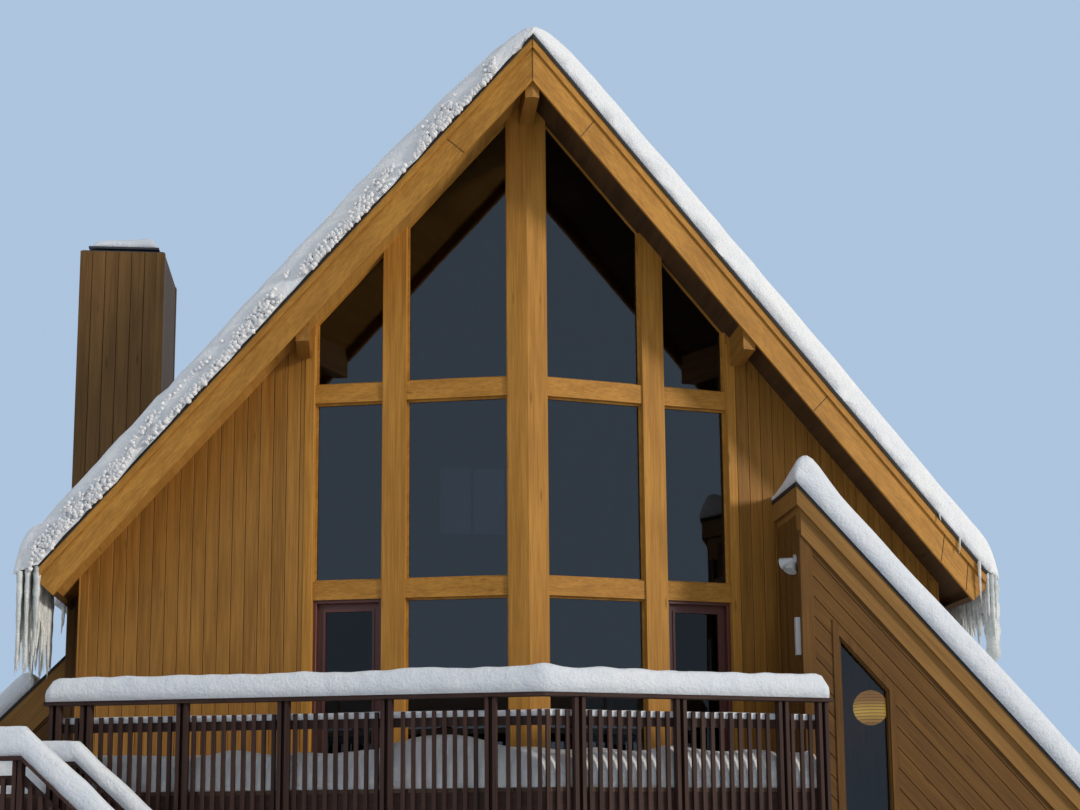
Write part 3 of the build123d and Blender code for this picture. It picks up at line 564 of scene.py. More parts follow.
@dataclass(frozen=True)
class LanternPaper:
    """Thin paper over bamboo hoops."""

    name: str
    level: float
    pitch: float

    def material(self) -> bpy.types.Material:
        """Build the paper with its glow, its fibres and the hoops' shade.

        Returns:
            The finished material.
        """
        shader = Shader(self.name)
        place = shader.place()
        z = shader.along(place, (0, 0, 1))
        hoop = abs(((z - self.level) / self.pitch).fract() - 0.5).step(0.30, 0.44)
        fibres = shader.noise(place, 60.0, 6.0, 0.7)
        bulb = 1 - abs(z - (self.level - 0.05)).step(0.0, 0.15)
        colour = shader.mix(bulb, (0.44, 0.180, 0.028), (0.98, 0.55, 0.080))
        colour = shader.mix(fibres.step(0.4, 0.7) * 0.25, colour, (0.70, 0.38, 0.09))
        colour = shader.mix(hoop * 0.75, colour, (0.18, 0.065, 0.010))
        shader.relief(fibres, 0.001)
        return shader.finish(Base_Color=colour, Roughness=0.72 + fibres * 0.15, Emission_Color=colour,
                             Emission_Strength=2.4)


CEDAR_LIGHT: Colour = (0.57, 0.275, 0.050)
CEDAR_DARK: Colour = (0.34, 0.150, 0.022)
SIDING_LIGHT: Colour = (0.44, 0.210, 0.042)
SIDING_DARK: Colour = (0.25, 0.110, 0.018)
# Wing stain darkened to paint the shade that lies over both wings; their boards and casings take it.
SHADED_WING_LIGHT: Colour = (0.190, 0.088, 0.018)
SHADED_WING_DARK: Colour = (0.105, 0.045, 0.008)
# Wing fascia stain darkened to paint the shade over the wings' roof edges.
SHADED_WING_RAKE_LIGHT: Colour = (0.36, 0.185, 0.050)
SHADED_WING_RAKE_DARK: Colour = (0.22, 0.108, 0.026)
CHASE_LIGHT: Colour = (0.190, 0.098, 0.028)
CHASE_DARK: Colour = (0.110, 0.053, 0.014)
# Bright warm stain of the left soffit paints the low sunlight that falls on it.
SUNLIT_SOFFIT_LIGHT: Colour = (0.62, 0.310, 0.065)
SUNLIT_SOFFIT_DARK: Colour = (0.42, 0.200, 0.036)
# Very dark stain paints the shade under the eaves; the right soffit, the wing soffits and the eave fascias
# take it.
SHADED_SOFFIT_LIGHT: Colour = (0.105, 0.052, 0.019)
SHADED_SOFFIT_DARK: Colour = (0.055, 0.027, 0.010)
RAIL_LIGHT: Colour = (0.072, 0.037, 0.029)
RAIL_DARK: Colour = (0.034, 0.016, 0.012)


class Finishes:
    """Every finish of the cabin, built once."""

    def __init__(self) -> None:
        """Build the materials that several pieces share."""
        self.ready: dict[str, bpy.types.Material] = {}
        rake = {"run": tuple(RAKE_RUN), "across": tuple(RAKE_ACROSS), "mirrored": True}
        wood = (CEDAR_LIGHT, CEDAR_DARK)
        dim = (SIDING_LIGHT, SIDING_DARK)
        shaded_soffit = (SHADED_SOFFIT_LIGHT, SHADED_SOFFIT_DARK)
        wing = (SHADED_WING_LIGHT, SHADED_WING_DARK)
        shaded_wing_rake = (SHADED_WING_RAKE_LIGHT, SHADED_WING_RAKE_DARK)
        sunlit_soffit = (SUNLIT_SOFFIT_LIGHT, SUNLIT_SOFFIT_DARK)
        # Deck stain darkened to paint the shade along the deck's edge; the deck's frame takes it too.
        deck = ((0.17, 0.105, 0.07), (0.075, 0.042, 0.028))
        rail = (RAIL_LIGHT, RAIL_DARK)
        for finish in (
            StainedWood("post_wood", *wood, board=0.226, across=(1, 0, 0), tone=0.08),
            StainedWood("transom_wood", *wood, run=(1, 0, 0), across=(0, 0, 1), board=0.21, tone=0.12),
            StainedWood("rake_wood", *wood, board=0.6, tone=0.05, **rake),
            StainedWood("beam_wood", *dim, run=(0, 1, 0), across=(0, 0, 1), board=0.4),
            StainedWood("shaded_soffit_wood", *shaded_soffit, run=(0, 1, 0), across=tuple(RAKE_RUN), mirrored=True,
                        board=0.6, weather=0.35, gloss=0.25),
            StainedWood("sunlit_soffit_wood", *sunlit_soffit, run=(0, 1, 0), across=tuple(RAKE_RUN), mirrored=True,
                        board=0.6, weather=0.35, gloss=0.25),
            StainedWood("shaded_wing_rake_wood", *shaded_wing_rake, board=0.6, tone=0.05, **rake),
            StainedWood("shaded_wing_upright_wood", *wing),
            StainedWood("chase_upright_wood", CHASE_LIGHT, CHASE_DARK),
            StainedWood("shaded_eave_wood", *shaded_soffit, run=(0, 1, 0), across=(0, 0, 1), board=0.6),
            StainedWood("upright_wood", *wood),
            StainedWood("corner_wood", *dim),
            StainedWood("backing_wood", (0.10, 0.05, 0.015), (0.05, 0.025, 0.008)),
            StainedWood("floor_wood", (0.40, 0.26, 0.13), (0.24, 0.14, 0.06), run=(0, 1, 0),
                        board=0.12, groove=0.003),
            StainedWood("deck_wood", *deck, run=(1, 0, 0), across=(0, 1, 0), board=0.14,
                        groove=0.006, weather=0.5, gloss=0.25),
            StainedWood("shaded_frame_wood", *deck, run=(0, 0, 1), across=(1, 0, 0), board=0.3, gloss=0.25),
            StainedWood("rail_upright", *rail, board=0.104, tone=0.3, weather=0.4, gloss=0.3),
            StainedWood("rail_level", *rail, run=(1, 0, 0), across=(0, 0, 1), tone=0.2, weather=0.4,
                        gloss=0.3),
            DoorPaint("door_paint", (0.105, 0.030, 0.020), (0.30, 0.19, 0.13)),
            # Near-black metal of the drip edges: partly their own dark coat, partly painted shadow of the gap
            # under the snow; the lantern's hanger takes it as plain dark metal.
            CoatedMetal("drip_metal_and_gap_shadow", (0.008, 0.007, 0.007), 0.0, 0.7, 0.1),
            CoatedMetal("lid_metal", (0.055, 0.055, 0.06), 0.6, 0.42, 0.4),
            CoatedMetal("steel", (0.50, 0.49, 0.47), 1.0, 0.28, 0.1),
            CoatedMetal("white_coat", (0.55, 0.56, 0.57), 0.0, 0.3, 0.25),
            Pane("window_pane"),
            Pane("front_pane", (0.07, 0.08, 0.085), 1.7),
            # Dark brown tint of the door glass paints the dark reflection that lies on it.
            Pane("shaded_door_pane", (0.05, 0.04, 0.036), 1.42),
            # Two copies of one snow: the brighter paints sunlight on the main roof and the deck, the duller
            # bluer one paints shade on the wings, railing, stair and chimney.
            SettledSnow("sunlit_snow", (0.90, 0.91, 0.93), (0.70, 0.76, 0.86)),
            SettledSnow("shaded_snow"),
            Ice("clear_ice"),
            LanternPaper("lantern_sheet", CABIN.lantern[2], 0.034),
        ):
            self.add(finish)

    def add(self, finish: object) -> bpy.types.Material:
        """Build a finish, or give the one of that name.

        Args:
            finish: A finish with a name and a material method.

        Returns:
            Its material.
        """
        if finish.name not in self.ready:
            self.ready[finish.name] = finish.material()
        return self.ready[finish.name]

    def __getitem__(self, name: str) -> bpy.types.Material:
        """Material of a name."""
        return self.ready[name]


class Draft:
    """Mesh that is being drawn, in the cabin's frame."""

    def __init__(self) -> None:
        """Start an empty mesh."""
        self.points: list[Vector] = []
        self.faces: list[list[int]] = []

    def add(self, points: Sequence[Vector], faces: Sequence[Sequence[int]]) -> None:
        """Add points and the faces between them.

        Args:
            points: The new points.
            faces: Faces as numbers of the new points.
        """
        first = len(self.points)
        self.points += [Vector(point) for point in points]
        self.faces += [[first + index for index in face] for face in faces]

    def loft(self, rings: Sequence[Sequence[Vector]], closed: bool = False) -> None:
        """Skin over rings of equal count, with flat ends unless the rings close on themselves.

        Args:
            rings: The sections in order.
            closed: Whether the last section joins the first.
        """
        count = len(rings[0])
        points = [point for ring in rings for point in ring]
        faces = []
        last = len(rings) if closed else len(rings) - 1
        for index in range(last):
            here, there = index * count, (index + 1) % len(rings) * count
            for side in range(count):
                after = (side + 1) % count
                faces.append([here + side, here + after, there + after, there + side])
        if not closed:
            faces.append(list(range(count))[::-1])
            faces.append([last * count + side for side in range(count)])
        self.add(points, faces)

    def plank(self, start: Vector, end: Vector, side: Vector, out: Vector, chamfer: float = 0.003,
              start_cut: Union[Vector, None] = None, end_cut: Union[Vector, None] = None) -> None:
        """Straight board with eased edges.

        Args:
            start: Corner of the section at the start.
            end: The same corner at the end.
            side: Vector across the board's width.
            out: Vector through its thickness.
            chamfer: Width of the eased edges.
            start_cut: Normal of the start's cutting plane, or None for a square end.
            end_cut: Normal of the end's cutting plane, or None for a square end.
        """
        run = (end - start).normalized()
        a, b = side.normalized() * chamfer, out.normalized() * chamfer
        corners = [a, side - a, side + b, side + out - b, side + out - a, out + a, out - b, b]
        rings = []
        for origin, cut in ((start, start_cut), (end, end_cut)):
            ring = []
            for corner in corners:
                slip = 0.0 if cut is None else -corner.dot(cut) / run.dot(cut)
                ring.append(origin + corner + run * slip)
            rings.append(ring)
        self.loft(rings)

    def block(self, low: Sequence[float], high: Sequence[float], chamfer: float = 0.003) -> None:
        """Upright board between two corners.

        Args:
            low: Its lowest corner.
            high: Its highest corner.
            chamfer: Width of the eased edges.
        """
        low, high = Vector(low), Vector(high)
        size = high - low
        self.plank(low, low + Vector((0, 0, size.z)), Vector((size.x, 0, 0)), Vector((0, size.y, 0)), chamfer)

    def casing(self, outline: Sequence[Vector], face: Vector, width: float, depth: float) -> None:
        """Mitred frame of flat boards inside a flat convex outline.

        Args:
            outline: Corners of the frame's outer edge, in order.
            face: Unit normal that the frame faces.
            width: Width of the boards, inward from the outline; outward where it is negative.
            depth: Thickness of the boards towards the face.
        """
        centre = sum(outline, Vector()) / len(outline)
        inner = []
        for index, corner in enumerate(outline):
            before = (corner - outline[index - 1]).normalized()
            after = (outline[(index + 1) % len(outline)] - corner).normalized()
            n1, n2 = face.cross(before), face.cross(after)
            if n1.dot(centre - corner) < 0:
                n1, n2 = -n1, -n2
            spread = n1 + n2
            inner.append(corner + spread * (width / (1 + n1.dot(n2))))
        lift = face * depth
        rings = [[a, b, b + lift, a + lift] for a, b in zip(outline, inner)]
        self.loft(rings, closed=True)

    def object(self, name: str, material: bpy.types.Material, body: Body = Body.HOUSE,
               smooth: bool = False) -> bpy.types.Object:
        """Turn the drawing into a piece of the cabin.

        Args:
            name: The piece's name.
            material: The piece's finish.
            body: The body that it rides on.
            smooth: Whether its faces shade smoothly.

        Returns:
            The new object.
        """
        mesh = bpy.data.meshes.new(name)
        mesh.from_pydata([tuple(point) for point in self.points], [], self.faces)
        work = bmesh.new()
        work.from_mesh(mesh)
        bmesh.ops.remove_doubles(work, verts=work.verts, dist=1e-6)
        bmesh.ops.recalc_face_normals(work, faces=work.faces)
        for face in work.faces:
            face.smooth = smooth
        work.to_mesh(mesh)
        work.free()
        mesh.materials.append(material)
        piece = bpy.data.objects.new(name, mesh)
        return settle(piece, body)


def settle(piece: bpy.types.Object, body: Body = Body.HOUSE) -> bpy.types.Object:
    """Link a piece, seat it on its body and report it.

    Args:
        piece: The finished object.
        body: The body that it rides on.

    Returns:
        The same object.
    """
    bpy.context.scene.collection.objects.link(piece)
    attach(piece, body.value)
    LOG.info("%s: %d faces", piece.name, len(piece.data.polygons))
    return piece


def dress(material: bpy.types.Material, *nodes: str) -> None:
    """Give construction nodes their finish.

    Args:
        material: The finish.
        *nodes: Names of the nodes.
    """
    for name in nodes:
        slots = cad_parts[name].data.materials
        slots.clear()
        slots.append(material)
        LOG.info("%s: dressed with %s", name, material.name)


@dataclass
class BoardedFace:
    """Boards nailed over one face of a wall, with real gaps between them."""

    name: str
    node: str
    face: Vector
    run: Vector
    finishes: Finishes
    pitch: float = 0.15
    gap: float = 0.007
    thick: float = 0.014
    shift: float = 0.0
    light: Colour = SIDING_LIGHT
    dark: Colour = SIDING_DARK
    eased: float = 0.0025
    sharp: float = 40.0
    facing: float = 0.9995
    flush: float = 2e-3

    def outline(self) -> bmesh.types.BMesh:
        """Flat copy of the wall's outermost face on that side.

        Returns:
            The mesh that is cut into boards.
        """
        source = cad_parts[self.node].data
        flat = [p for p in source.polygons if p.normal.dot(self.face) > self.facing]
        reach = max(self.face.dot(source.vertices[p.vertices[0]].co) for p in flat)
        work = bmesh.new()
        for polygon in flat:
            corners = [source.vertices[index].co for index in polygon.vertices]
            if abs(self.face.dot(corners[0]) - reach) < self.flush:
                work.faces.new([work.verts.new(corner) for corner in corners])
        bmesh.ops.remove_doubles(work, verts=work.verts, dist=1e-5)
        return work

    def cut(self, work: bmesh.types.BMesh, point: Vector, way: Vector) -> None:
        """Split the outline by the plane through a point and square to a direction."""
        bmesh.ops.bisect_plane(
            work, geom=work.verts[:] + work.edges[:] + work.faces[:], dist=1e-6, plane_co=point, plane_no=way
        )

    def build(self) -> bpy.types.Object:
        """Cut the outline into boards and give them their thickness.

        Returns:
            The finished piece.
        """
        work = self.outline()
        across = self.face.cross(self.run).normalized()
        spans = [across.dot(vert.co) for vert in work.verts]
        first = math.floor((min(spans) + self.shift) / self.pitch)
        last = math.ceil((max(spans) + self.shift) / self.pitch)
        for number in range(first, last + 1):
            middle = number * self.pitch - self.shift
            for edge in (middle - self.gap / 2, middle + self.gap / 2):
                self.cut(work, across * edge, across)
        gaps = []
        for polygon in work.faces:
            place = (across.dot(polygon.calc_center_median()) + self.shift) / self.pitch
            if abs(place - round(place)) * self.pitch < self.gap / 2:
                gaps.append(polygon)
        bmesh.ops.delete(work, geom=gaps, context="FACES")
        bmesh.ops.dissolve_limit(work, angle_limit=0.01, verts=work.verts, edges=work.edges)
        for polygon in work.faces:
            if polygon.normal.dot(self.face) < 0:
                polygon.normal_flip()
        mesh = bpy.data.meshes.new(self.name)
        work.to_mesh(mesh)
        work.free()
        return self.thicken(mesh, across)

    def thicken(self, mesh: bpy.types.Mesh, across: Vector) -> bpy.types.Object:
        """Give the flat boards their thickness and eased edges, and dress them.

        Args:
            mesh: The flat boards.
            across: Direction across the boards.

        Returns:
            The finished piece.
        """
        flat = bpy.data.objects.new(self.name, mesh)
        bpy.context.scene.collection.objects.link(flat)
        solid = flat.modifiers.new("thickness", "SOLIDIFY")
        solid.thickness = self.thick
        solid.offset = 1.0
        ease = flat.modifiers.new("eased", "BEVEL")
        ease.width = self.eased
        ease.segments = 1
        ease.limit_method = "ANGLE"
        ease.angle_limit = math.radians(self.sharp)
        shown = flat.evaluated_get(bpy.context.evaluated_depsgraph_get())
        done = bpy.data.meshes.new_from_object(shown)
        bpy.data.objects.remove(flat)
        finish = StainedWood(
            f"{self.name}_wood", self.light, self.dark, run=tuple(self.run), across=tuple(across),
            board=self.pitch, shift=self.shift,
        )
        done.materials.clear()
        done.materials.append(self.finishes.add(finish))
        return settle(bpy.data.objects.new(self.name, done))


@dataclass
class Walls:
    """Boarded walls of the main body, with their corner boards."""

    finishes: Finishes
    front_shift: float = 0.05
    corner_w: float = 0.09
    corner_t: float = 0.024

    def build(self) -> None:
        """Board every outer wall and dress the walls behind."""
        for side, word in ((1, "right"), (-1, "left")):
            face = CABIN.front_face(side)
            for name, node in ((f"{word}_front_boards", f"front_wall_{word}"),
                               (f"{word}_base_boards", "front_base")):
                BoardedFace(name, node, face, UP, self.finishes, shift=self.front_shift).build()
            BoardedFace(f"{word}_side_boards", f"{word}_wall", RIGHT * side, UP, self.finishes).build()
        BoardedFace("back_boards", "back_wall", INWARD, UP, self.finishes).build()
        dress(self.finishes["backing_wood"], "front_wall_right", "front_wall_left", "front_base",
              "right_wall", "left_wall", "back_wall")
        dress(self.finishes["floor_wood"], "floors")
        self.corners()

    def corners(self) -> None:
        """Corner boards at the four corners of the main body."""
        draft = Draft()
        edge = CABIN.half_width
        lift = UP * (CABIN.roof_z(edge) - CABIN.roof_v)
        proud = self.corner_t
        for side in (1, -1):
            foot = Vector((side * edge, CABIN.wall_y(edge), 0))
            out = CABIN.front_face(side) * proud
            draft.plank(foot, foot + lift, -CABIN.front_way(side) * self.corner_w, out)
            draft.plank(foot + out, foot + out + lift, Vector((side * proud, 0, 0)),
                        Vector((0, self.corner_w, 0)))
            rear = Vector((side * edge, CABIN.body_back, 0))
            back = Vector((0, proud, 0))
            draft.plank(rear, rear + lift, Vector((-side * self.corner_w, 0, 0)), back)
            draft.plank(rear + back, rear + lift + back, Vector((side * proud, 0, 0)),
                        Vector((0, -self.corner_w - proud, 0)))
        draft.object("corner_boards", self.finishes["corner_wood"])


@dataclass
class Glazing:
    """Timber and glass of the prow, with beads round the sheets."""

    finishes: Finishes
    centre_half: float = 0.226
    mullion: Pair = (1.35, 1.608)
    jamb: Pair = (2.372, 2.452)
    rows: tuple[Pair, ...] = ((0.12, 2.065), (2.265, 4.245), (4.45, 9.0))
    glass_set: float = 0.09
    bead: float = 0.022
    bead_t: float = 0.02
    casing_w: float = 0.105
    casing_t: float = 0.02
    casing_gap: float = 0.14

    def panes(self) -> list[list[Vector]]:
        """Outlines of the sheets, on their outer face; doors fill the outer bays' lowest row.

        Returns:
            The corners of each sheet in order.
        """
        scale = math.hypot(1, CABIN.prow_run)
        sheets = []
        bays = ((self.centre_half, self.mullion[0]), (self.mullion[1], self.jamb[0]))
        for side in (1, -1):
            for bay, (start, end) in enumerate(bays):
                for low, high in self.rows:
                    if bay == 1 and low < 1:
                        continue
                    corners = [(start, low), (end, low), (end, high), (start, high)]
                    loop = []
                    for u, rise in corners:
                        x = (u - CABIN.prow_run * self.glass_set) / scale
                        head = CABIN.roof_z(x) - CABIN.roof_v
                        level = min(CABIN.deck_z + rise, head)
                        loop.append(CABIN.front_point(u, self.glass_set, level, side))
                    sheets.append(loop)
        return sheets

    def build(self) -> None:
        """Dress the timber and the glass, and lay the beads and casings."""
        draft = Draft()
        for loop in self.panes():
            side = 1 if loop[0].x > 0 else -1
            draft.casing(loop, CABIN.front_face(side), self.bead, self.bead_t)
        draft.object("glazing_beads", self.finishes["rake_wood"])
        self.casings()
        dress(self.finishes["window_pane"], "window_glass")
        dress(self.finishes["front_pane"], "front_glass")
        # The door glass takes the dark tint, a painted reflection.
        dress(self.finishes["shaded_door_pane"], "left_door_glass", "right_door_glass")
        dress(self.finishes["post_wood"], "centre_post", "front_posts")
        dress(self.finishes["transom_wood"], "transoms", "front_sills")

    def casings(self) -> None:
        """Flat casings beside the outer bays."""
        draft = Draft()
        for side in (1, -1):
            foot = CABIN.front_point(self.jamb[0], 0, CABIN.deck_z, side)
            head = CABIN.roof_z(foot.x) - CABIN.roof_v - self.casing_gap
            draft.plank(foot, Vector((foot.x, foot.y, head)), CABIN.front_way(side) * self.casing_w,
                        CABIN.front_face(side) * self.casing_t)
        draft.object("jamb_casings", self.finishes["upright_wood"])


@dataclass
class Doors:
    """Two glazed doors with mouldings, a sill sweep and steel furniture."""

    finishes: Finishes
    leaf: Pair = (1.616, 2.366)
    inner: float = 0.165
    thick: float = 0.045
    stile: float = 0.115
    bottom: float = 0.26
    low: float = 2.503
    high: float = 4.527
    bead_w: float = 0.024
    bead_t: float = 0.012
    panel_in: float = 0.06
    panel_w: float = 0.02
    panel_t: float = 0.008
    sweep_in: float = 0.01
    sweep_low: float = 0.004
    sweep_v: float = 0.05
    sweep_t: float = 0.014
    opening: tuple[Pair, Pair] = ((1.608, 2.495), (2.372, 4.535))
    frame_depth: float = 0.1
    frame_w: float = 0.035
    frame_t: float = 0.05

    def build(self) -> None:
        """Dress both doors and add what is planted on them."""
        for side, word, body in ((1, "right", Body.RIGHT_DOOR), (-1, "left", Body.LEFT_DOOR)):
            self.mouldings(side, word, body)
            dress(self.finishes["door_paint"], f"{word}_door")
            dress(self.finishes["steel"], f"{word}_door_handle")
        dress(self.finishes["steel"], "door_hinges")
        self.frames()

    def mouldings(self, side: int, word: str, body: Body) -> None:
        """Beads round the light, the planted panel and the sweep of one door.

        Args:
            side: 1 for the right door and -1 for the left one.
            word: The same in words.
            body: The door's body.
        """
        draft = Draft()
        face = CABIN.front_face(side)
        start, end = self.leaf[0] + self.stile, self.leaf[1] - self.stile
        outer = self.inner - self.thick
        light = ((start, self.low + self.bottom), (end, self.high - self.stile))
        panel = ((start, self.low + self.panel_in), (end, self.low + self.bottom - self.panel_in))
        for depth, way in ((outer, face), (self.inner, -face)):
            draft.casing(self.loop(light, depth, side), way, -self.bead_w, self.bead_t)
            draft.casing(self.loop(panel, depth, side), way, self.panel_w, self.panel_t)
        foot, tip = (
            CABIN.front_point(u, outer, self.low + self.sweep_low, side)
            for u in (self.leaf[0] + self.sweep_in, self.leaf[1] - self.sweep_in)
        )
        draft.plank(foot, tip, UP * self.sweep_v, face * self.sweep_t)
        draft.object(f"{word}_door_mouldings", self.finishes["door_paint"], body)

    def loop(self, span: Sequence[Pair], depth: float, side: int) -> list[Vector]:
        """Corners of a rectangle on the door's plane."""
        (u0, z0), (u1, z1) = span
        return [CABIN.front_point(u, depth, z, side) for u, z in ((u0, z0), (u1, z0), (u1, z1), (u0, z1))]

    def frames(self) -> None:
        """Painted door frames in the outer bays, in front of the leaves."""
        draft = Draft()
        for side in (1, -1):
            out = CABIN.front_face(side) * self.frame_t
            left, right, top_right, top_left = self.loop(self.opening, self.frame_depth, side)
            way = (right - left).normalized() * self.frame_w
            rise = UP * self.frame_w
            draft.plank(left, top_left, way, out)
            draft.plank(right - way, top_right - way, way, out)
            draft.plank(top_left - rise + way, top_right - rise - way, rise, out)
        draft.object("door_frames", self.finishes["door_paint"])


@dataclass
class MainRoof:
    """Main roof: slabs with their soffits, barge boards, beams and drip edges."""

    finishes: Finishes
    drip_t: float = 0.014
    drip_v: float = 0.05
    drip_ease: float = 0.002
    upper_v: float = 0.15
    board_v: float = 0.52
    upper_t: float = 0.025
    butts: tuple[Pair, ...] = (
        (-0.90, -0.72), (0.68, 0.53), (3.32, 3.15), (4.69, 4.635), (4.97, 4.93),
    )
    line_w: float = 0.008
    line_t: float = 0.012
    line_out: float = 0.003
    line_ease: float = 0.001
    line_gap: float = 0.002
    line_foot: float = 0.008

    def build(self) -> None:
        """Dress the roof and add its drip edges and the joints of its barge boards."""
        dress(self.finishes["rake_wood"], "left_barge", "right_barge")
        # The eave fascias take the painted-shade stain.
        dress(self.finishes["shaded_eave_wood"], "eave_fascias")
        dress(self.finishes["beam_wood"], "roof_beams")
        # The right soffit takes the painted-shade stain and the left soffit takes the painted-sunlight stain.
        dress(self.finishes["shaded_soffit_wood"], "roof_right")
        dress(self.finishes["sunlit_soffit_wood"], "roof_left")
        self.drip_edges()
        self.joints()

    def drip_edges(self) -> None:
        """Near-black metal strips along the rakes and the eaves: real flashing, and painted shadow of the gap
        under the snow.
        """
        draft = Draft()
        reach = CABIN.roof_half
        back = CABIN.body_back + CABIN.roof_back
        for side in (1, -1):
            top = Vector((0, CABIN.rake_y(0), CABIN.ridge_z))
            eave = Vector((side * reach, CABIN.rake_y(reach), CABIN.roof_z(reach)))
            drop = Vector((0, 0, -self.drip_v))
            forward = Vector((0, -self.drip_t, 0))
            draft.plank(top, eave, drop, forward, self.drip_ease, RIGHT)
            rear_top = Vector((0, back, CABIN.ridge_z))
            rear_eave = Vector((side * reach, back, CABIN.roof_z(reach)))
            draft.plank(rear_top, rear_eave, drop, -forward, self.drip_ease, RIGHT)
            outward = Vector((side * self.drip_t, 0, 0))
            draft.plank(eave, rear_eave, drop, outward, self.drip_ease)
        draft.object("drip_edges", self.finishes["drip_metal_and_gap_shadow"])

    def rake_point(self, x: float, drop: float) -> Vector:
        """Point on the face of the front barge boards, a depth below the roof's top."""
        inset = 0.0 if drop < self.upper_v else self.upper_t
        return Vector((x, CABIN.rake_y(x) + inset, CABIN.roof_z(x) - drop))

    def joints(self) -> None:
        """Dark butt joints of the barge boards and their mitre at the ridge."""
        draft = Draft()
        upper = (self.drip_v, self.upper_v - self.line_gap)
        board = (self.upper_v + self.line_gap, self.board_v - self.line_foot)
        lines = [(0.0, 0.0, upper), (0.0, 0.0, board)]
        lines += [(top_x, foot_x, board) for top_x, foot_x in self.butts]
        for top_x, foot_x, (high, low) in lines:
            top, foot = self.rake_point(top_x, high), self.rake_point(foot_x, low)
            out = CABIN.front_face(-1 if top_x < 0 else 1) if top_x else -INWARD
            way = (foot - top).normalized().cross(out).normalized() * self.line_w
            proud = out * self.line_out
            top, foot = top - way / 2 + proud, foot - way / 2 + proud
            draft.plank(top, foot, way, -out * self.line_t, self.line_ease)
        draft.object("barge_joints", self.finishes["backing_wood"])


@dataclass
class Chimney:
    """Boarded chase with corner trims and a dark metal lid."""

    finishes: Finishes
    top: float = 8.8
    board_shift: float = 0.02
    trim_w: float = 0.09
    trim_t: float = 0.02
    return_w: float = 0.07

    def build(self) -> None:
        """Board the four sides, trim the corners and dress the lid."""
        for word, face in (("front", -INWARD), ("rear", INWARD), ("right", RIGHT), ("left", -RIGHT)):
            BoardedFace(f"chase_{word}_boards", "chimney_chase", face, UP, self.finishes,
                        shift=self.board_shift, light=CHASE_LIGHT, dark=CHASE_DARK).build()
        dress(self.finishes["backing_wood"], "chimney_chase")
        dress(self.finishes["lid_metal"], "chimney_cap")
        draft = Draft()
        x0, x1, y0, y1 = CABIN.chase
        lift = UP * self.top
        for x, way in ((x0, 1), (x1, -1)):
            for y, back in ((y0, 1), (y1, -1)):
                corner = Vector((x - way * self.trim_t, y - back * self.trim_t, 0))
                step = Vector((0, back * self.trim_t, 0))
                draft.plank(corner, corner + lift, Vector((way * self.trim_w, 0, 0)), step)
                draft.plank(corner + step, corner + lift + step, Vector((way * self.trim_t, 0, 0)),
                            Vector((0, back * self.return_w, 0)))
        draft.object("chase_corners", self.finishes["chase_upright_wood"])


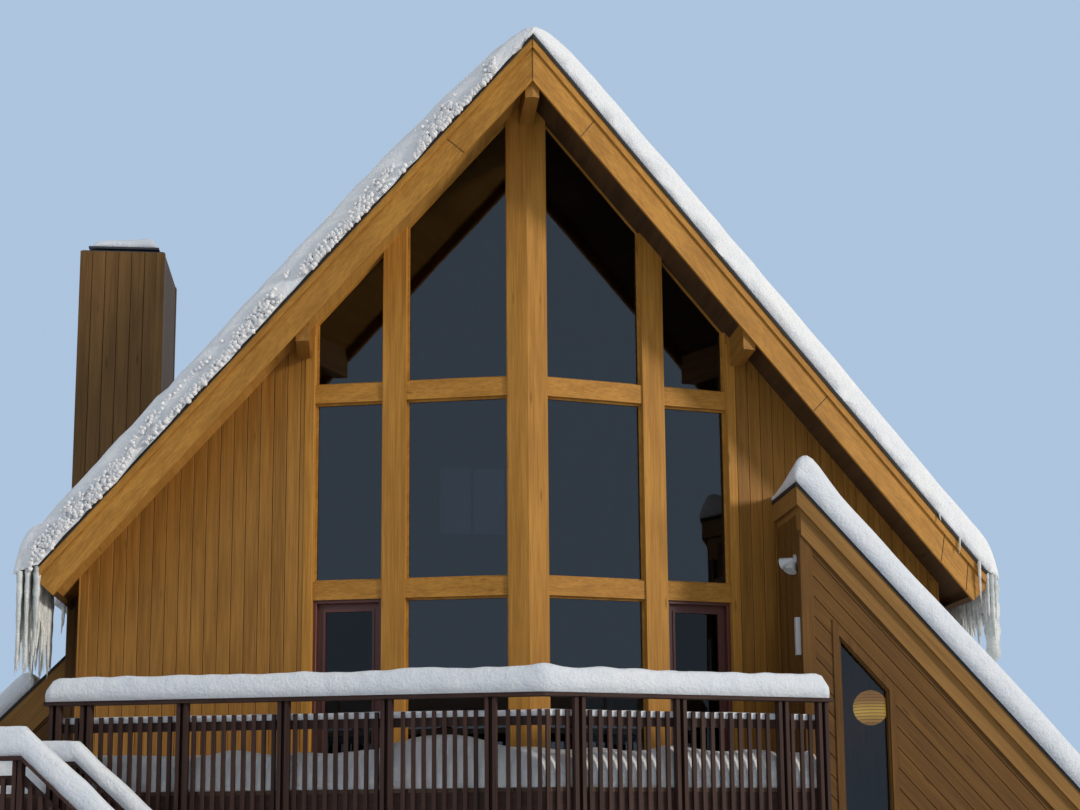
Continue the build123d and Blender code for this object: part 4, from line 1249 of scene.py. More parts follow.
@dataclass
class Wings:
    """Lean-to wings: boards, corner trims, window casings and roof edges."""

    finishes: Finishes
    right_left: float = 2.87
    right_front: float = -0.43
    window: Pair = (3.24, 3.76)
    window_high: float = 4.07
    window_low: float = 0.97
    rake_pitch: float = 0.145
    upright_pitch: float = 0.15
    drip_v: float = 0.042
    drip_t: float = 0.012
    drip_ease: float = 0.002
    trim_w: float = 0.135
    trim_t: float = 0.022
    return_w: float = 0.09
    trim_gap: float = 0.45
    casing_w: float = 0.065
    casing_t: float = 0.026
    reveal_w: float = 0.02
    reveal_t: float = 0.06

    def build(self) -> None:
        """Board and trim both wings."""
        fin = self.finishes
        run = Vector((1, 0, -CABIN.right_wing_slope)).normalized()
        left_run = Vector((-1, 0, -CABIN.left_wing_slope)).normalized()
        rake, upright = self.rake_pitch, self.upright_pitch
        for name, node, face, way, pitch in (
            ("right_wing_front_boards", "right_wing_front", -INWARD, run, rake),
            ("right_wing_side_boards", "right_wing_side", -RIGHT, UP, upright),
            ("right_wing_outer_boards", "wing_outer_walls", RIGHT, UP, upright),
            ("left_wing_outer_boards", "wing_outer_walls", -RIGHT, UP, upright),
            ("left_wing_rear_boards", "wing_rear_walls", INWARD, UP, upright),
            ("left_wing_front_boards", "left_wing_front", -INWARD, left_run, rake),
        ):
            # The wing boards take the darkened stain, painted shade over the wings.
            BoardedFace(name, node, face, way, fin, pitch, light=SHADED_WING_LIGHT, dark=SHADED_WING_DARK).build()
        dress(fin["backing_wood"], "right_wing_front", "right_wing_side", "wing_outer_walls",
              "wing_rear_walls", "left_wing_front")
        # The wing fascias take the darkened stain, painted shade.
        dress(fin["shaded_wing_rake_wood"], "right_wing_trim", "left_wing_trim")
        # The wing soffits take the painted-shade soffit stain.
        dress(fin["shaded_soffit_wood"], "wing_roofs")
        self.trims()
        self.drip_edges()

    def drip_edges(self) -> None:
        """Near-black strips along the rakes of both wings and the right wing's high edge: real flashing, and
        painted shadow of the gap under the snow.
        """
        draft = Draft()
        drop = Vector((0, 0, -self.drip_v))
        forward = Vector((0, -self.drip_t, 0))
        low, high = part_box("right_wing_trim")
        top = Vector((low.x, low.y, CABIN.right_wing_z(low.x)))
        foot = Vector((high.x, low.y, CABIN.right_wing_z(high.x)))
        draft.plank(top, foot, drop, forward, self.drip_ease, RIGHT)
        back = Vector((low.x, CABIN.wall_y(low.x), top.z))
        draft.plank(top + forward, back, drop, Vector((-self.drip_t, 0, 0)), self.drip_ease)
        low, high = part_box("left_wing_trim")
        inner = Vector((high.x, low.y, CABIN.left_wing_z(high.x)))
        outer = Vector((low.x, low.y, CABIN.left_wing_z(low.x)))
        draft.plank(inner, outer, drop, forward, self.drip_ease, RIGHT)
        draft.object("wing_drip_edges", self.finishes["drip_metal_and_gap_shadow"])

    def trims(self) -> None:
        """Corner board and window casing of the right wing."""
        draft = Draft()
        left, front = self.right_left, self.right_front
        foot = Vector((left - self.trim_t, front, 0))
        head = Vector((left - self.trim_t, front, CABIN.right_wing_z(left) - self.trim_gap))
        draft.plank(foot, head, Vector((self.trim_w, 0, 0)), Vector((0, -self.trim_t, 0)))
        draft.plank(foot, head, Vector((self.trim_t, 0, 0)), Vector((0, self.return_w, 0)))
        (x0, x1), z1, z0 = self.window, self.window_high, self.window_low
        loop = [Vector((x0, front, z0)), Vector((x1, front, z0)),
                Vector((x1, front, z1 - CABIN.right_wing_slope * (x1 - x0))), Vector((x0, front, z1))]
        draft.casing(loop, -INWARD, -self.casing_w, self.casing_t)
        set_in = INWARD * self.reveal_t
        draft.casing([point + set_in for point in loop], -INWARD, self.reveal_w, self.reveal_t)
        # The casings take the darkened wing stain, painted shade.
        draft.object("right_wing_casings", self.finishes["shaded_wing_upright_wood"])


@dataclass
class Lamps:
    """Flood lamp, slim lamp and the paper lantern."""

    finishes: Finishes
    radius: float = 0.19
    hoops: int = 11
    rows: int = 6
    turns: int = 48
    rib: float = 0.022
    pole: float = 0.004
    hanger: float = 0.004
    hanger_lap: float = 0.01

    def rings(self) -> list[list[Vector]]:
        """Level rings of the lantern's paper, drawn in between its hoops.

        Returns:
            The rings from the top down.
        """
        centre = Vector(CABIN.lantern)
        steps = self.hoops * self.rows
        rings = []
        for row in range(steps + 1):
            polar = math.pi * row / steps
            rib = 1 - self.rib * abs(math.sin(math.pi * row / self.rows))
            radius = max(self.radius * math.sin(polar) * rib, self.pole)
            level = centre.z + self.radius * math.cos(polar)
            angles = [2 * math.pi * turn / self.turns for turn in range(self.turns)]
            rings.append([
                Vector((centre.x + radius * math.cos(angle), centre.y + radius * math.sin(angle), level))
                for angle in angles
            ])
        return rings

    def build(self) -> None:
        """Dress the lamps and make the ribbed lantern with its hanger."""
        dress(self.finishes["white_coat"], "wall_lamps")
        draft = Draft()
        draft.loft(self.rings())
        paper = draft.object("paper_lantern", self.finishes["lantern_sheet"], smooth=True)
        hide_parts("lantern")
        centre = Vector(CABIN.lantern)
        _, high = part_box("lantern")
        half = self.hanger
        hanger = Draft()
        hanger.block((centre.x - half, centre.y - half, centre.z + self.radius - self.hanger_lap),
                     (centre.x + half, centre.y + half, high.z), 0.001)
        hanger.object("lantern_hanger", self.finishes["drip_metal_and_gap_shadow"])


@dataclass
class Deck:
    """Deck, railing and stair."""

    finishes: Finishes

    def build(self) -> None:
        """Dress the deck, the railing and the stair."""
        fin = self.finishes
        # Deck boards, stair and frame take the darkened stain, painted shade.
        dress(fin["deck_wood"], "deck_boards", "stair_treads", "stair_landing")
        dress(fin["shaded_frame_wood"], "deck_joists", "deck_beams", "deck_posts", "stair_stringers")
        dress(fin["rail_level"], "deck_rims", "rail_cap", "stair_caps")
        dress(fin["rail_upright"], "rail_posts", "rail_panels", "end_rail", "stair_rails", "stair_posts")


@dataclass
class SnowField:
    """Snow that lies on a surface, as one closed mesh over a grid.

    The grid's lines are chosen by the caller, so that edges and notches fall on them.
    """

    name: str
    columns: Sequence[float]
    rows: int
    place: Callable[[float, int], Vector]
    depth: Callable[[Vector], float]
    keep: Callable[[Vector], bool] = lambda middle: True

    def build(self, material: bpy.types.Material, replaces: Sequence[str] = ()) -> bpy.types.Object:
        """Make the mesh.

        Args:
            material: The snow's finish.
            replaces: Construction nodes that the snow stands for.

        Returns:
            The finished piece.
        """
        base = [[self.place(column, row) for row in range(self.rows)] for column in self.columns]
        wide, tall = len(self.columns), self.rows
        kept = {
            (i, j) for i in range(wide - 1) for j in range(tall - 1)
            if self.keep((base[i][j] + base[i + 1][j + 1]) / 2)
        }
        draft = Draft()
        flat = [point for line in base for point in line]
        top = [point + UP * self.depth(point) for point in flat]
        draft.points = flat + top
        high = len(flat)
        for i, j in kept:
            a, b, c, d = (i * tall + j, (i + 1) * tall + j, (i + 1) * tall + j + 1, i * tall + j + 1)
            draft.faces.append([a, d, c, b])
            draft.faces.append([a + high, b + high, c + high, d + high])
            for cell, (p, q) in (((i, j - 1), (a, b)), ((i + 1, j), (b, c)),
                                 ((i, j + 1), (c, d)), ((i - 1, j), (d, a))):
                if cell not in kept:
                    draft.faces.append([p, q, q + high, p + high])
        used = sorted({index for face in draft.faces for index in face})
        number = {index: place for place, index in enumerate(used)}
        draft.points = [draft.points[index] for index in used]
        draft.faces = [[number[index] for index in face] for face in draft.faces]
        piece = draft.object(self.name, material, smooth=True)
        if replaces:
            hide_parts(*replaces)
        return piece


def rounded(distance: float, radius: float) -> float:
    """Height of a rounded edge, from 0 at the edge to 1 at a radius inside it."""
    share = max(0.0, min(1.0, distance / radius))
    return math.sqrt(max(0.0, 1 - (1 - share) ** 2))


def drift(x: float, y: float, z: float, size: float, seed: float = 0.0) -> float:
    """Smooth unevenness between about -1 and 1 at one size."""
    return noise.noise(Vector((x / size + seed, y / size - seed, z / size)))


def graded(start: float, end: float, step: float, fine: Sequence[float]) -> list[float]:
    """Even lines between two values, with close lines inside both ends.

    Args:
        start: First value.
        end: Last value.
        step: Spacing in the middle.
        fine: Distances from each end that get a line of their own.

    Returns:
        The values in order.
    """
    sign = 1 if end > start else -1
    length = abs(end - start)
    inner = fine[-1]
    count = max(1, round((length - 2 * inner) / step))
    middle = [inner + (length - 2 * inner) * index / count for index in range(1, count)]
    marks = [0.0, *fine, *middle, *[length - value for value in reversed(fine)], length]
    return [start + sign * mark for mark in marks]


FINE = (0.012, 0.03, 0.055, 0.085, 0.12, 0.165, 0.22, 0.29)


@dataclass
class Snow:
    """Snow on the roofs, the railing, the deck, the stair and the chimney."""

    finishes: Finishes
    left_depth: float = 0.46
    left_dip: float = 0.12
    dip_w: float = 0.9
    right_depth: float = 0.42
    clods: int = 2300
    crest: float = 0.26
    lip: float = 0.012
    droop: float = 0.10
    riser: float = 0.19
    tread: float = 0.215
    landing_z: float = 1.9
    landing: tuple[Pair, Pair] = ((4.62, 6.17), (0.47, 1.55))

    def left_full(self, x: float) -> float:
        """Full depth of the left slope's snow, which dips at the ridge."""
        return self.left_depth - self.left_dip * math.exp(-(x / self.dip_w) ** 2)

    def crown(self, x: float) -> float:
        """Change of depth that rounds the snow over the ridge."""
        return CABIN.slope * (abs(x) - math.hypot(x, self.crest))

    def build(self) -> None:
        """Lay all the snow."""
        self.main_roof()
        self.rake_clods()
        self.right_wing()
        self.left_wing()
        self.railing()
        self.deck()
        self.chimney()

    def main_roof(self) -> None:
        """Both slopes as one cover that is rounded over the ridge and open round the chase."""
        _, x1, y0, y1 = CABIN.chase
        eave = CABIN.roof_half
        sides = []
        for nose in (CABIN.right_nose, CABIN.left_nose):
            side = graded(0.0, eave + nose, 0.13, FINE)
            sides.append(sorted([value for value in side if abs(value - eave) > 0.02] + [eave]))
        right, left = sides
        left = [-value for value in left if abs(value + x1) > 0.05] + [x1]
        columns = sorted(set(left + right))
        back = CABIN.body_back + CABIN.roof_back + self.lip
        straight = 1.45
        near = [0.0, 0.006, 0.016, 0.03, 0.05, 0.075, 0.105, 0.14, 0.18, 0.23, 0.30, 0.4, 0.52, 0.66, 0.82]
        rows = [straight, 1.58, y0, 1.9, 2.1, 2.3, 2.5, 2.7, 2.9, y1, 3.25]
        rows += graded(y1, back, 0.16, FINE)[len(FINE) + 1:]
        rows = sorted(set(rows))
        count = len(near) + len(rows)

        def place(x: float, row: int) -> Vector:
            """Grid point on the roof, or under the snow that hangs over the eave.

            Args:
                x: Place across the roof.
                row: Number of the row from the front.

            Returns:
                The point.
            """
            front = CABIN.rake_y(x) - self.lip - 0.012 * drift(x, 0, 0, 0.35)
            fringe = 0.0
            if x < 0:
                front -= 0.016 + 0.016 * drift(x, 0, 0, 0.06)
                fringe = 0.05 * max(0.0, 0.3 + drift(x, 0, 0, 0.09, 4.0)) if row == 0 else 0.0
            if row < len(near):
                y = front + (straight - front) * near[row]
            else:
                y = rows[row - len(near)]
            over = max(0.0, abs(x) - eave)
            level = CABIN.roof_z(min(abs(x), eave))
            return Vector((x, y, level - over * self.droop / CABIN.nose(x) - fringe))

        def depth(point: Vector) -> float:
            """Depth of the snow at a point, measured plumb.

            Args:
                point: Grid point under the snow.

            Returns:
                The depth there.
            """
            x, y = point.x, point.y
            front = CABIN.rake_y(x) - self.lip
            reach = eave + CABIN.nose(x)
            share = 0.5 + 0.5 * math.tanh(x / 0.25)
            left_full = self.left_full(x)
            full = left_full + (self.right_depth - left_full) * share
            full += self.crown(x)
            full += 0.028 * drift(x, y, 0, 1.3, 3.0) + 0.012 * drift(x, y, 0, 0.33, 7.0)
            full += (1 - share) * 0.035 * drift(x, y, 0, 0.10, 5.0)
            flute = 0.5 + 0.5 * noise.noise(Vector((x * 5.5, 2.0, 0.0)))
            edge = rounded(y - front, 0.05 + 0.05 * flute) * rounded(back - y, 0.16)
            return max(0.0, full * edge * rounded(reach - abs(x), 0.22))

        def keep(middle: Vector) -> bool:
            """Whether a cell lies outside the chimney chase."""
            return not (middle.x < x1 and y0 < middle.y < y1)

        SnowField("main_roof_snow", columns, count, place, depth, keep).build(
            self.finishes["sunlit_snow"], ["roof_snow"])

    def rake_clods(self) -> None:
        """Clods that cling to the lower face of the snow along the left rake."""
        chance = random.Random(5)
        shape = bmesh.new()
        bmesh.ops.create_icosphere(shape, subdivisions=2, radius=1.0)
        corners = [vert.co.copy() for vert in shape.verts]
        faces = [[vert.index for vert in face.verts] for face in shape.faces]
        shape.free()
        draft = Draft()
        for _ in range(self.clods):
            x = -chance.uniform(0.4, CABIN.roof_half + 0.1)
            share = chance.betavariate(1.5, 2.4) * 0.8
            radius = chance.uniform(0.010, 0.028) * (1.2 - 0.5 * share)
            if noise.noise(Vector((x * 3.0, share * 3.0, 0.5))) < -0.15:
                continue
            front = CABIN.rake_y(x) - self.lip - 0.02
            y = front + 0.07 * (1 - math.sqrt(1 - share ** 2)) - 0.2 * radius
            deep = self.left_full(x)
            deep += self.crown(x)
            centre = Vector((x, y, CABIN.roof_z(x) + share * deep))
            draft.add([
                centre + corner * (radius * (1 + 0.35 * noise.noise(corner * 1.4 + centre * 9.0)))
                for corner in corners
            ], faces)
        draft.object("rake_clods", self.finishes["sunlit_snow"], smooth=True)

    def right_wing(self) -> None:
        """Cover of the right wing, rounded over its high edge."""
        start, end, corner = 2.80, 6.5, CABIN.half_width
        front, back, step = -0.54, 6.39, 0.11
        columns = graded(start, corner, step, FINE)[:-len(FINE) - 1]
        columns += [corner - 0.1, corner, corner + 0.1]
        columns += graded(corner + 0.1, end, step, FINE)[len(FINE) + 1:]
        columns = sorted(set(columns))
        near = graded(0.0, 1.0, 0.07, (0.008, 0.02, 0.04, 0.07, 0.1, 0.14))
        rear = graded(0.0, 1.0, 0.035, (0.004, 0.01, 0.02, 0.03, 0.045))[1:]

        def place(x: float, row: int) -> Vector:
            """Grid point on the wing's roof.

            Args:
                x: Place across the roof.
                row: Number of the row from the front.

            Returns:
                The point.
            """
            wall = CABIN.wall_y(min(x, corner))
            if row < len(near):
                y = front + (wall - front) * near[row]
            else:
                y = wall + (back - wall) * rear[row - len(near)]
            return Vector((x, y, CABIN.right_wing_z(x)))

        def depth(point: Vector) -> float:
            """Depth of the snow at a point, measured plumb.

            Args:
                point: Grid point under the snow.

            Returns:
                The depth there.
            """
            x, y = point.x, point.y
            full = 0.42 + 0.03 * drift(x, y, 0, 0.9, 11.0) + 0.012 * drift(x, y, 0, 0.25, 5.0)
            full += 0.07 * math.exp(-((x - 3.04) / 0.18) ** 2)
            high = max(0.0, 1 - max(0.0, x - start - 0.35) / 0.5)
            full *= 1 - 0.72 * high * min(1.0, max(0.0, y - front - 0.1) / 0.9)
            edge = rounded(y - front, 0.10) * rounded(x - start, 0.22) * rounded(end - x, 0.2)
            tail = rounded(back - y, 0.16) if x > corner else 1.0
            return max(0.0, full * edge * tail)

        def keep(middle: Vector) -> bool:
            """Whether a cell lies outside the main body."""
            return middle.x > corner or middle.y < CABIN.wall_y(middle.x) + 0.001

        SnowField("right_wing_snow", columns, len(near) + len(rear), place, depth, keep).build(
            self.finishes["shaded_snow"], ["wing_snow"])

    def left_wing(self) -> None:
        """Cover of the left wing, clear of the strip that the main eave shelters."""
        start, end = 5.42, 7.19
        front, back = 1.80, 6.99
        columns = graded(start, end, 0.11, FINE)
        rows = graded(front, back, 0.12, FINE)

        def place(x: float, row: int) -> Vector:
            """Grid point on the wing's roof.

            Args:
                x: Place across the roof.
                row: Number of the row from the front.

            Returns:
                The point.
            """
            return Vector((-x, rows[row], CABIN.left_wing_z(-x)))

        def depth(point: Vector) -> float:
            """Depth of the snow at a point, measured plumb.

            Args:
                point: Grid point under the snow.

            Returns:
                The depth there.
            """
            x, y = point.x, point.y
            full = 0.30 + 0.03 * drift(x, y, 0, 0.9, 17.0) + 0.012 * drift(x, y, 0, 0.25, 2.0)
            sides = rounded(end + x, 0.2) * rounded(-x - start, 0.22)
            return max(0.0, full * rounded(y - front, 0.10) * rounded(back - y, 0.15) * sides)

        SnowField("left_wing_snow", columns, len(rows), place, depth).build(self.finishes["shaded_snow"])

    def ridge(self, draft: Draft, path: Sequence[Vector], width: float, height: float, seed: float,
              square: float = 0.0, peak: float = 0.0) -> None:
        """Rounded ridge of snow along a flat strip.

        Args:
            draft: The mesh that it is added to.
            path: Points along the middle of the strip.
            width: Width of the snow at its widest.
            height: Its height.
            seed: Number that makes its unevenness its own.
            square: How square its section and its ends are, from 0 to 1.
            peak: Extra height at the middle of the path, as a share of the height.
        """
        bend = path[len(path) // 2]
        points = []
        for start, end in zip(path, path[1:]):
            length = (end - start).length
            count = max(2, round(length / 0.06))
            points += [start.lerp(end, index / count) for index in range(count)]
        points.append(path[-1])
        lengths = [0.0]
        for before, after in zip(points, points[1:]):
            lengths.append(lengths[-1] + (after - before).length)
        rings = []
        for index, point in enumerate(points):
            before = points[max(index - 1, 0)]
            after = points[min(index + 1, len(points) - 1)]
            way = (after - before).normalized()
            side = way.cross(UP).normalized()
            if 0 < index < len(points) - 1:
                turn_in = (point - before).normalized()
                side = side / max(0.5, abs(turn_in.cross(UP).normalized().dot(side)))
            from_end = min(lengths[index], lengths[-1] - lengths[index])
            low_end = 0.25 + 0.6 * square
            taper = low_end + (1 - low_end) * rounded(from_end, height * (0.9 - 0.6 * square))
            tall = height * taper * (1 + 0.13 * drift(point.x, point.y, 0, 0.8, seed)
                                     + 0.07 * drift(point.x, point.y, 0, 0.22, seed))
            tall *= 1 + peak * math.exp(-((point - bend).length / 0.16) ** 2)
            ring = []
            for turn in range(17):
                angle = math.pi * turn / 16
                across, rise = math.cos(angle), math.sin(angle)
                across = math.copysign(abs(across) ** (0.55 - 0.25 * square), across)
                rise = rise ** (0.62 - 0.3 * square)
                belly = 1 + 0.10 * math.sin(math.pi * min(1.0, rise * 1.1))
                wobble = 1 + 0.08 * drift(point.x, point.y, rise, 0.15, seed + 4)
                wobble += 0.05 * drift(point.x, point.y, rise, 0.07, seed + 6)
                ring.append(point + side * (across * width / 2 * belly * wobble) + UP * (rise * tall))
            rings.append(ring)
        draft.loft(rings)

    def rail_path(self, left: float, right: float, out: float, rise: float) -> list[Vector]:
        """Points along a rail, from its left end over the deck's point to its right end.

        Args:
            left: Distance of the left end from the deck's point.
            right: Distance of the right end from it.
            out: Distance outward from the deck's edge.
            rise: Height over the deck.

        Returns:
            The three points.
        """
        level = CABIN.deck_z + rise
        point = CABIN.deck_point(0.0, out, level)
        point.x = 0.0
        return [CABIN.deck_point(left, out, level, -1), point, CABIN.deck_point(right, out, level)]

    def railing(self) -> None:
        """Snow on the rail cap, on the middle rails and on the stair's caps."""
        draft = Draft()
        self.ridge(draft, self.rail_path(5.075, 3.09, 0.044, 0.913), 0.19, 0.245, 1.0, 0.5, 0.16)
        piece = draft.object("rail_cap_snow", self.finishes["shaded_snow"], smooth=True)
        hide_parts("cap_snow")
        thin = Draft()
        self.ridge(thin, self.rail_path(5.04, 3.08, -0.024, 0.69), 0.05, 0.065, 9.0, 0.6)
        thin.object("mid_rail_snow", self.finishes["shaded_snow"], smooth=True)
        self.stair()
        self.stair_landing()

    def stair(self) -> None:
        """Snow on the caps of the landing and the long flight, and on its treads."""
        draft = Draft()
        cap_rise = 0.864
        top, foot, outer, inner = 4.585, 2.65, 1.605, 0.405
        high = self.landing_z + cap_rise
        slope = (self.landing_z - self.riser) / (top - foot)

        def at(u: float, out: float) -> Vector:
            """Point of a cap's top."""
            level = high if u >= top else self.riser + (u - foot) * slope + cap_rise
            return CABIN.deck_point(u, out, level, -1)

        self.ridge(draft, [at(6.2, outer), at(top, outer), at(foot - 0.09, outer)], 0.15, 0.27, 21.0)
        self.ridge(draft, [at(5.17, inner), at(top, inner), at(foot - 0.09, inner)], 0.18, 0.2, 23.0)
        self.ridge(draft, [at(6.245, outer - 0.11), at(6.245, 0.47)], 0.17, 0.2, 25.0)
        for index in range(9):
            level = self.landing_z - self.riser * (index + 1)
            middle = top - self.tread * index - 0.13
            path = [CABIN.deck_point(middle, out, level, -1) for out in (0.52, 1.50)]
            self.ridge(draft, path, 0.17, 0.11, 30.0 + index)
        draft.object("stair_snow", self.finishes["shaded_snow"], smooth=True)

    def stair_landing(self) -> None:
        """Snow on the stair's landing."""
        (start, end), (inner, outer) = self.landing
        fine = (0.02, 0.05, 0.1, 0.16)
        columns = graded(start, end, 0.1, fine)
        rows = graded(inner, outer, 0.1, fine)

        def place(u: float, row: int) -> Vector:
            """Grid point on the landing."""
            return CABIN.deck_point(u, rows[row], self.landing_z, -1)

        def depth(point: Vector) -> float:
            """Depth of the snow on the landing.

            Args:
                point: Grid point under the snow.

            Returns:
                The depth there.
            """
            scale = math.hypot(1, CABIN.deck_run)
            u = (-point.x + CABIN.deck_run * (point.y - CABIN.deck_tip)) / scale
            out = (-CABIN.deck_run * point.x - (point.y - CABIN.deck_tip)) / scale
            edge = rounded(u - start, 0.16) * rounded(end - u, 0.12)
            edge *= rounded(out - inner, 0.12) * rounded(outer - out, 0.12)
            return 0.19 * edge * (1 + 0.15 * drift(u, out, 0, 0.4, 8.0))

        SnowField("landing_snow", columns, len(rows), place, depth).build(self.finishes["shaded_snow"])

    def deck(self) -> None:
        """Snow on the deck's boards between the railing and the walls."""
        start, end, corner = -5.93, 2.99, -CABIN.half_width
        wing_wall, wing_front = 2.85, -0.445
        columns = graded(start, end, 0.1, (0.02, 0.05, 0.09, 0.14, 0.2))
        marks = [corner, wing_wall - 0.005, wing_wall]
        columns = sorted([x for x in columns if min(abs(x - mark) for mark in marks) > 0.03] + marks)
        rows = graded(0.0, 1.0, 0.05, (0.012, 0.03, 0.055, 0.09, 0.13))

        def edges(x: float) -> Pair:
            """Front and back of the snow at one place along the deck.

            Args:
                x: Place across the cabin.

            Returns:
                The two places in depth.
            """
            near = CABIN.deck_y(x) + 0.012
            far = CABIN.wall_y(x) - 0.015 if x > corner else 1.685
            return near, far if x < wing_wall else wing_front

        def place(x: float, row: int) -> Vector:
            """Grid point on the deck."""
            near, far = edges(x)
            return Vector((x, near + (far - near) * rows[row], CABIN.deck_z))

        def depth(point: Vector) -> float:
            """Depth of the snow on the deck.

            Args:
                point: Grid point under the snow.

            Returns:
                The depth there.
            """
            near, far = edges(point.x)
            hump = 0.17 * math.exp(-((point.x + 0.95) / 0.5) ** 2) * rounded(far - point.y, 0.6)
            full = 0.37 + hump + 0.07 * drift(point.x, point.y, 0, 0.55, 13.0)
            full += 0.012 * drift(point.x, point.y, 0, 0.15, 3.0)
            front = rounded(point.y - near, 0.14)
            ends = rounded(point.x - start, 0.2) * rounded(end - point.x, 0.16)
            return max(0.0, full * front * ends)

        # The deck's snow takes the sunlit copy, painted sunlight.
        SnowField("deck_snow", columns, len(rows), place, depth).build(self.finishes["sunlit_snow"])

    def chimney(self) -> None:
        """Heap of snow on the chimney's lid."""
        x0, x1, y0, y1 = CABIN.chase
        _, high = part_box("chimney_cap")
        inset, step, fine = 0.09, 0.07, (0.012, 0.03, 0.06, 0.1)
        columns = graded(x0 + inset, x1 - inset, step, fine)
        rows = graded(y0 + inset, y1 - inset, step, fine)

        def place(x: float, row: int) -> Vector:
            """Grid point on the lid."""
            return Vector((x, rows[row], high.z))

        def depth(point: Vector) -> float:
            """Depth of the snow on the lid.

            Args:
                point: Grid point under the snow.

            Returns:
                The depth there.
            """
            edge = rounded(min(point.x - columns[0], columns[-1] - point.x), 0.1)
            edge *= rounded(min(point.y - rows[0], rows[-1] - point.y), 0.1)
            lean = 0.10 + 0.05 * (point.x - x0)
            return edge * (lean + 0.02 * drift(point.x, point.y, 0, 0.3, 6.0))

        SnowField("chimney_snow", columns, len(rows), place, depth).build(self.finishes["shaded_snow"])


@dataclass
class Icicles:
    """Sheets and columns of ice along the eaves, longest towards the front.

    Each eave has its side, the length of its longest icicle and the run from the front
    along which they hang close together.
    """

    finishes: Finishes
    seed: int = 7
    steps: int = 14
    turns: int = 8
    swell: float = 0.13
    swell_beat: float = 1.9
    lean: float = 0.02
    thinnest: float = 0.0012
    chase_clear: float = 0.12
    eaves: tuple[tuple[int, float, float], ...] = ((1, 0.75, 1.5), (-1, 1.12, 2.6))
    rows: tuple[float, ...] = (0.1, 0.45, 0.8)
    radii: Pair = (0.022, 0.045)
    spacing: Pair = (0.9, 2.0)
    blunt: float = 0.45
    small: Pair = (0.08, 0.42)
    small_spacing: Pair = (0.05, 0.22)
    rake: tuple[Pair, ...] = ((4.62, 0.08), (4.86, 0.18), (5.09, 0.47))

    def icicle(self, draft: Draft, root: Vector, length: float, radius: float, taper: float = 0.6) -> None:
        """One icicle that hangs from a point.

        Args:
            draft: The mesh that it is added to.
            root: The point where it grows from.
            length: Its length.
            radius: Its radius at the top.
            taper: How fast it thins; a low value gives a blunt column.
        """
        rings = []
        beat = random.uniform(0.0, 6.0)
        bend = Vector((random.uniform(-self.lean, self.lean), random.uniform(-self.lean, self.lean), 0))
        angles = [2 * math.pi * turn / self.turns for turn in range(self.turns)]
        for step in range(self.steps + 1):
            share = step / self.steps
            wide = radius * (1 - share) ** taper
            wide = max(wide * (1 + self.swell * math.sin(step * self.swell_beat + beat)), self.thinnest)
            middle = root + Vector((0, 0, -length * share)) + bend * share ** 2
            rings.append([
                middle + Vector((wide * math.cos(angle), wide * math.sin(angle), 0)) for angle in angles
            ])
        draft.loft(rings)

    def clear(self, side: int, y: float) -> bool:
        """Whether a place along an eave is clear of the chimney."""
        front, rear = CABIN.chase[2:]
        return side > 0 or not front - self.chase_clear < y < rear + self.chase_clear

    def close_rows(self, draft: Draft, side: int, longest: float, crowded: float) -> None:
        """Rows of long icicles along the front of an eave.

        Args:
            draft: The mesh that they are added to.
            side: 1 on the right and -1 on the left.
            longest: Length of the longest.
            crowded: How far the rows run from the front.
        """
        eave = CABIN.roof_half
        front = CABIN.rake_y(eave)
        for share in self.rows:
            y = front + 0.03
            while y < front + crowded:
                length = longest * random.uniform(0.5, 1.0)
                radius = random.uniform(*self.radii)
                out = CABIN.nose(side) * share + random.uniform(-0.02, 0.02)
                root = Vector((side * (eave + out), y, CABIN.roof_z(eave) - 0.03 - 0.3 * out))
                if self.clear(side, y):
                    self.icicle(draft, root, length, radius, self.blunt)
                y += radius * random.uniform(*self.spacing)

    def loose_row(self, draft: Draft, side: int, start: float) -> None:
        """Small icicles along the rest of an eave.

        Args:
            draft: The mesh that they are added to.
            side: 1 on the right and -1 on the left.
            start: Where they begin.
        """
        eave, nose = CABIN.roof_half, CABIN.nose(side)
        y = start
        while y < CABIN.body_back + 0.5:
            length = random.uniform(*self.small)
            if self.clear(side, y):
                out = random.uniform(0.02, nose - 0.02)
                root = Vector((side * (eave + out), y, CABIN.roof_z(eave) - 0.05))
                self.icicle(draft, root, length, 0.010 + 0.04 * length)
            y += random.uniform(*self.small_spacing)

    def build(self) -> None:
        """Hang the ice, with one thick column at the right eave's front corner."""
        random.seed(self.seed)
        draft = Draft()
        eave = CABIN.roof_half
        front = CABIN.rake_y(eave)
        for side, longest, crowded in self.eaves:
            self.close_rows(draft, side, longest, crowded)
            self.loose_row(draft, side, front + crowded)
        self.icicle(draft, Vector((eave + 0.085, front + 0.12, CABIN.roof_z(eave) - 0.04)), 1.0, 0.10, 0.12)
        self.rake_ice(draft)
        draft.object("icicles", self.finishes["clear_ice"], smooth=True)

    def rake_ice(self, draft: Draft) -> None:
        """Small icicles that hang from the lowest part of the right rake.

        Args:
            draft: The mesh that they are added to.
        """
        for x, length in self.rake:
            root = Vector((x, CABIN.rake_y(x) - 0.03, CABIN.roof_z(x) - 0.005))
            self.icicle(draft, root, length, 0.010 + 0.022 * length)


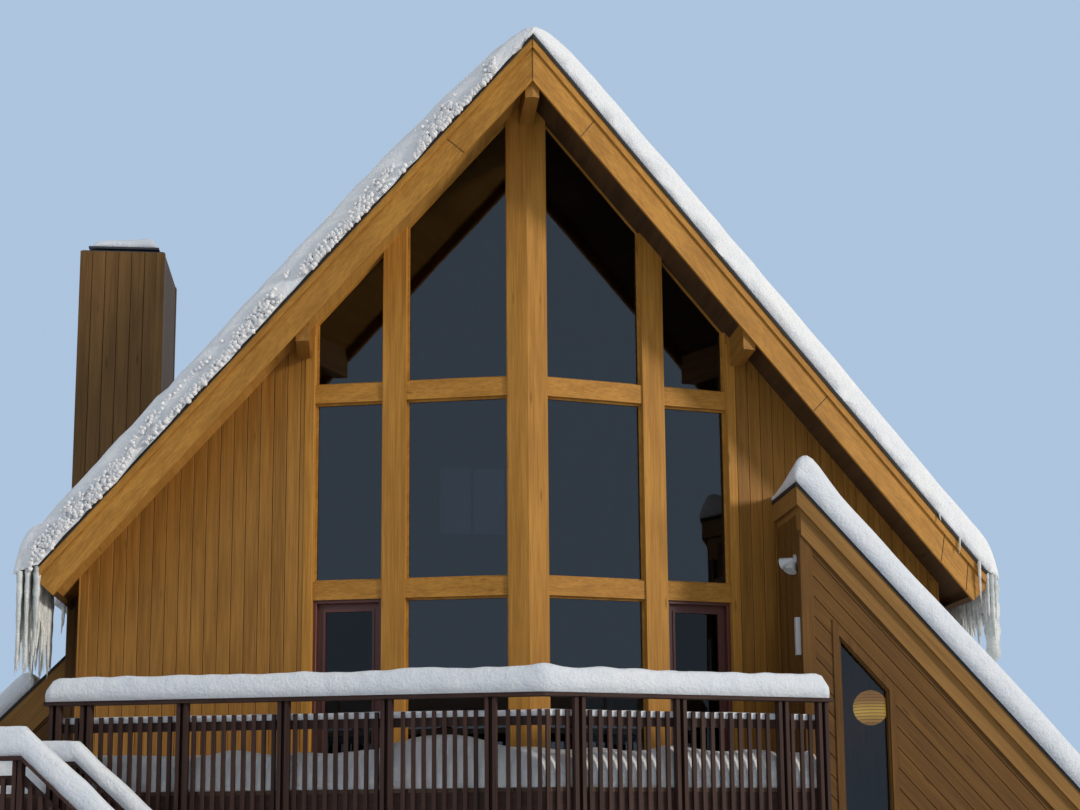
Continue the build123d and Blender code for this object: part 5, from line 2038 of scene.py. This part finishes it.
@dataclass
class BackWindows:
    """Casings, sills and glazing bars of the back wall's windows."""

    finishes: Finishes
    width: float = 1.1
    height: float = 1.15
    places: tuple[Pair, ...] = ((-2.1, 0.95), (2.1, 0.95), (0.0, 4.3))
    casing_w: float = 0.09
    casing_t: float = 0.026
    sash_in: float = 0.06
    sash_w: float = 0.04
    sash_t: float = 0.05
    bar_half: float = 0.02
    bar_in: float = 0.065
    bar_out: float = 0.02
    sill_past: float = 0.12
    sill_low: float = 0.12
    sill_high: float = 0.085
    sill_t: float = 0.06

    def build(self) -> None:
        """Frame each window."""
        draft = Draft()
        y = CABIN.body_back
        set_in = Vector((0, self.sash_in, 0))
        for x, rise in self.places:
            x0, x1 = x - self.width / 2, x + self.width / 2
            z0 = CABIN.deck_z + rise
            z1 = z0 + self.height
            loop = [Vector((x0, y, z0)), Vector((x1, y, z0)), Vector((x1, y, z1)), Vector((x0, y, z1))]
            draft.casing(loop, INWARD, -self.casing_w, self.casing_t)
            draft.casing([point - set_in for point in loop], INWARD, self.sash_w, self.sash_t)
            draft.block((x - self.bar_half, y - self.bar_in, z0 + self.sash_w),
                        (x + self.bar_half, y - self.bar_out, z1 - self.sash_w))
            draft.block((x0 - self.sill_past, y, z0 - self.sill_low),
                        (x1 + self.sill_past, y + self.sill_t, z0 - self.sill_high))
        draft.object("back_window_casings", self.finishes["upright_wood"])


@dataclass
class Studio:
    """Pale floor, soft lamps and the camera at the photo's angle."""

    focal: float = 60.06
    sensor: float = 36.0
    eye: tuple[float, float, float] = (-1.7885, -18.9327, 1.9475)
    pitch: float = 0.1733
    yaw: float = -0.101
    roll: float = -0.008
    rise: float = 0.1127
    sky: Colour = (0.84, 0.90, 0.96)
    sky_level: float = 0.50
    backdrop: Colour = (0.42, 0.555, 0.735)
    reach: float = 160.0
    far: float = 400
    lit: tuple[float, float, float] = (0, 2, 4.5)

    def build(self) -> None:
        """Set the floor, the light and the camera."""
        self.floor()
        self.world()
        self.lamps()
        data = bpy.data.cameras.new("view_camera")
        data.lens = self.focal
        data.sensor_width = self.sensor
        data.shift_y = self.rise
        data.clip_end = self.far
        camera = bpy.data.objects.new("view_camera", data)
        camera.location = self.eye
        aim = Matrix.Rotation(self.yaw, 3, "Z") @ Matrix.Rotation(math.pi / 2 + self.pitch, 3, "X")
        camera.rotation_euler = (aim @ Matrix.Rotation(self.roll, 3, "Z")).to_euler()
        bpy.context.scene.collection.objects.link(camera)
        bpy.context.scene.camera = camera
        bpy.context.scene.view_settings.view_transform = "Standard"

    def floor(self) -> None:
        """Large plain floor at ground level."""
        mesh = bpy.data.meshes.new("floor")
        reach = self.reach
        mesh.from_pydata([(-reach, -reach, 0), (reach, -reach, 0), (reach, reach, 0), (-reach, reach, 0)],
                         [], [(0, 1, 2, 3)])
        shader = Shader("floor_pale")
        speck = shader.noise(shader.place(), 3.0, 4.0)
        colour = shader.mix(speck, (0.74, 0.75, 0.77), (0.80, 0.81, 0.83))
        mesh.materials.append(shader.finish(Base_Color=colour, Roughness=0.9))
        floor = bpy.data.objects.new("floor", mesh)
        bpy.context.scene.collection.objects.link(floor)

    def world(self) -> None:
        """Even pale surroundings that light the cabin softly."""
        world = bpy.data.worlds.new("surroundings")
        world.use_nodes = True
        graph = Graph(world.node_tree)
        light = graph.node("ShaderNodeBackground", {}, {"Color": self.sky, "Strength": self.sky_level})
        shown = graph.node("ShaderNodeBackground", {}, {"Color": self.backdrop, "Strength": 1.0})
        rays = [graph.node("ShaderNodeLightPath", {}, {}, f"Is {kind} Ray")
                for kind in ("Camera", "Glossy", "Transmission")]
        seen = (rays[0] + rays[1] + rays[2]).clamp()
        both = graph.node("ShaderNodeMixShader", {}, {0: seen, 1: light, 2: shown})
        graph.feed(graph.tree.nodes["World Output"].inputs["Surface"], both)
        bpy.context.scene.world = world

    def lamps(self) -> None:
        """Broad even light from the front right, with weak ones from the left and behind."""
        for name, place, spread, power, colour in (
            ("key_lamp", (26, -15, 13.5), 0.19, 2.15, (1.0, 0.92, 0.80)),
            ("fill_lamp", (-22, -14, 12), 0.35, 0.2, (0.85, 0.92, 1.0)),
            ("back_lamp", (-8, 30, 18), 0.35, 0.68, (1.0, 0.97, 0.93)),
        ):
            data = bpy.data.lights.new(name, "SUN")
            data.angle = spread
            data.energy = power
            data.color = colour
            lamp = bpy.data.objects.new(name, data)
            lamp.location = place
            aim = Vector(self.lit) - Vector(place)
            lamp.rotation_euler = aim.to_track_quat("-Z", "Y").to_euler()
            bpy.context.scene.collection.objects.link(lamp)


def main() -> None:
    """Build the cabin's looks, sub-assembly by sub-assembly."""
    logging.basicConfig(level=logging.INFO, format="%(name)s: %(message)s")
    finishes = Finishes()
    for assembly in (
        Walls(finishes), Glazing(finishes), Doors(finishes), MainRoof(finishes), Chimney(finishes),
        Wings(finishes), BackWindows(finishes), Lamps(finishes), Deck(finishes), Snow(finishes),
        Icicles(finishes), Studio(),
    ):
        assembly.build()
        LOG.info("%s is in place", type(assembly).__name__)


if __name__ == "__main__":
    main()
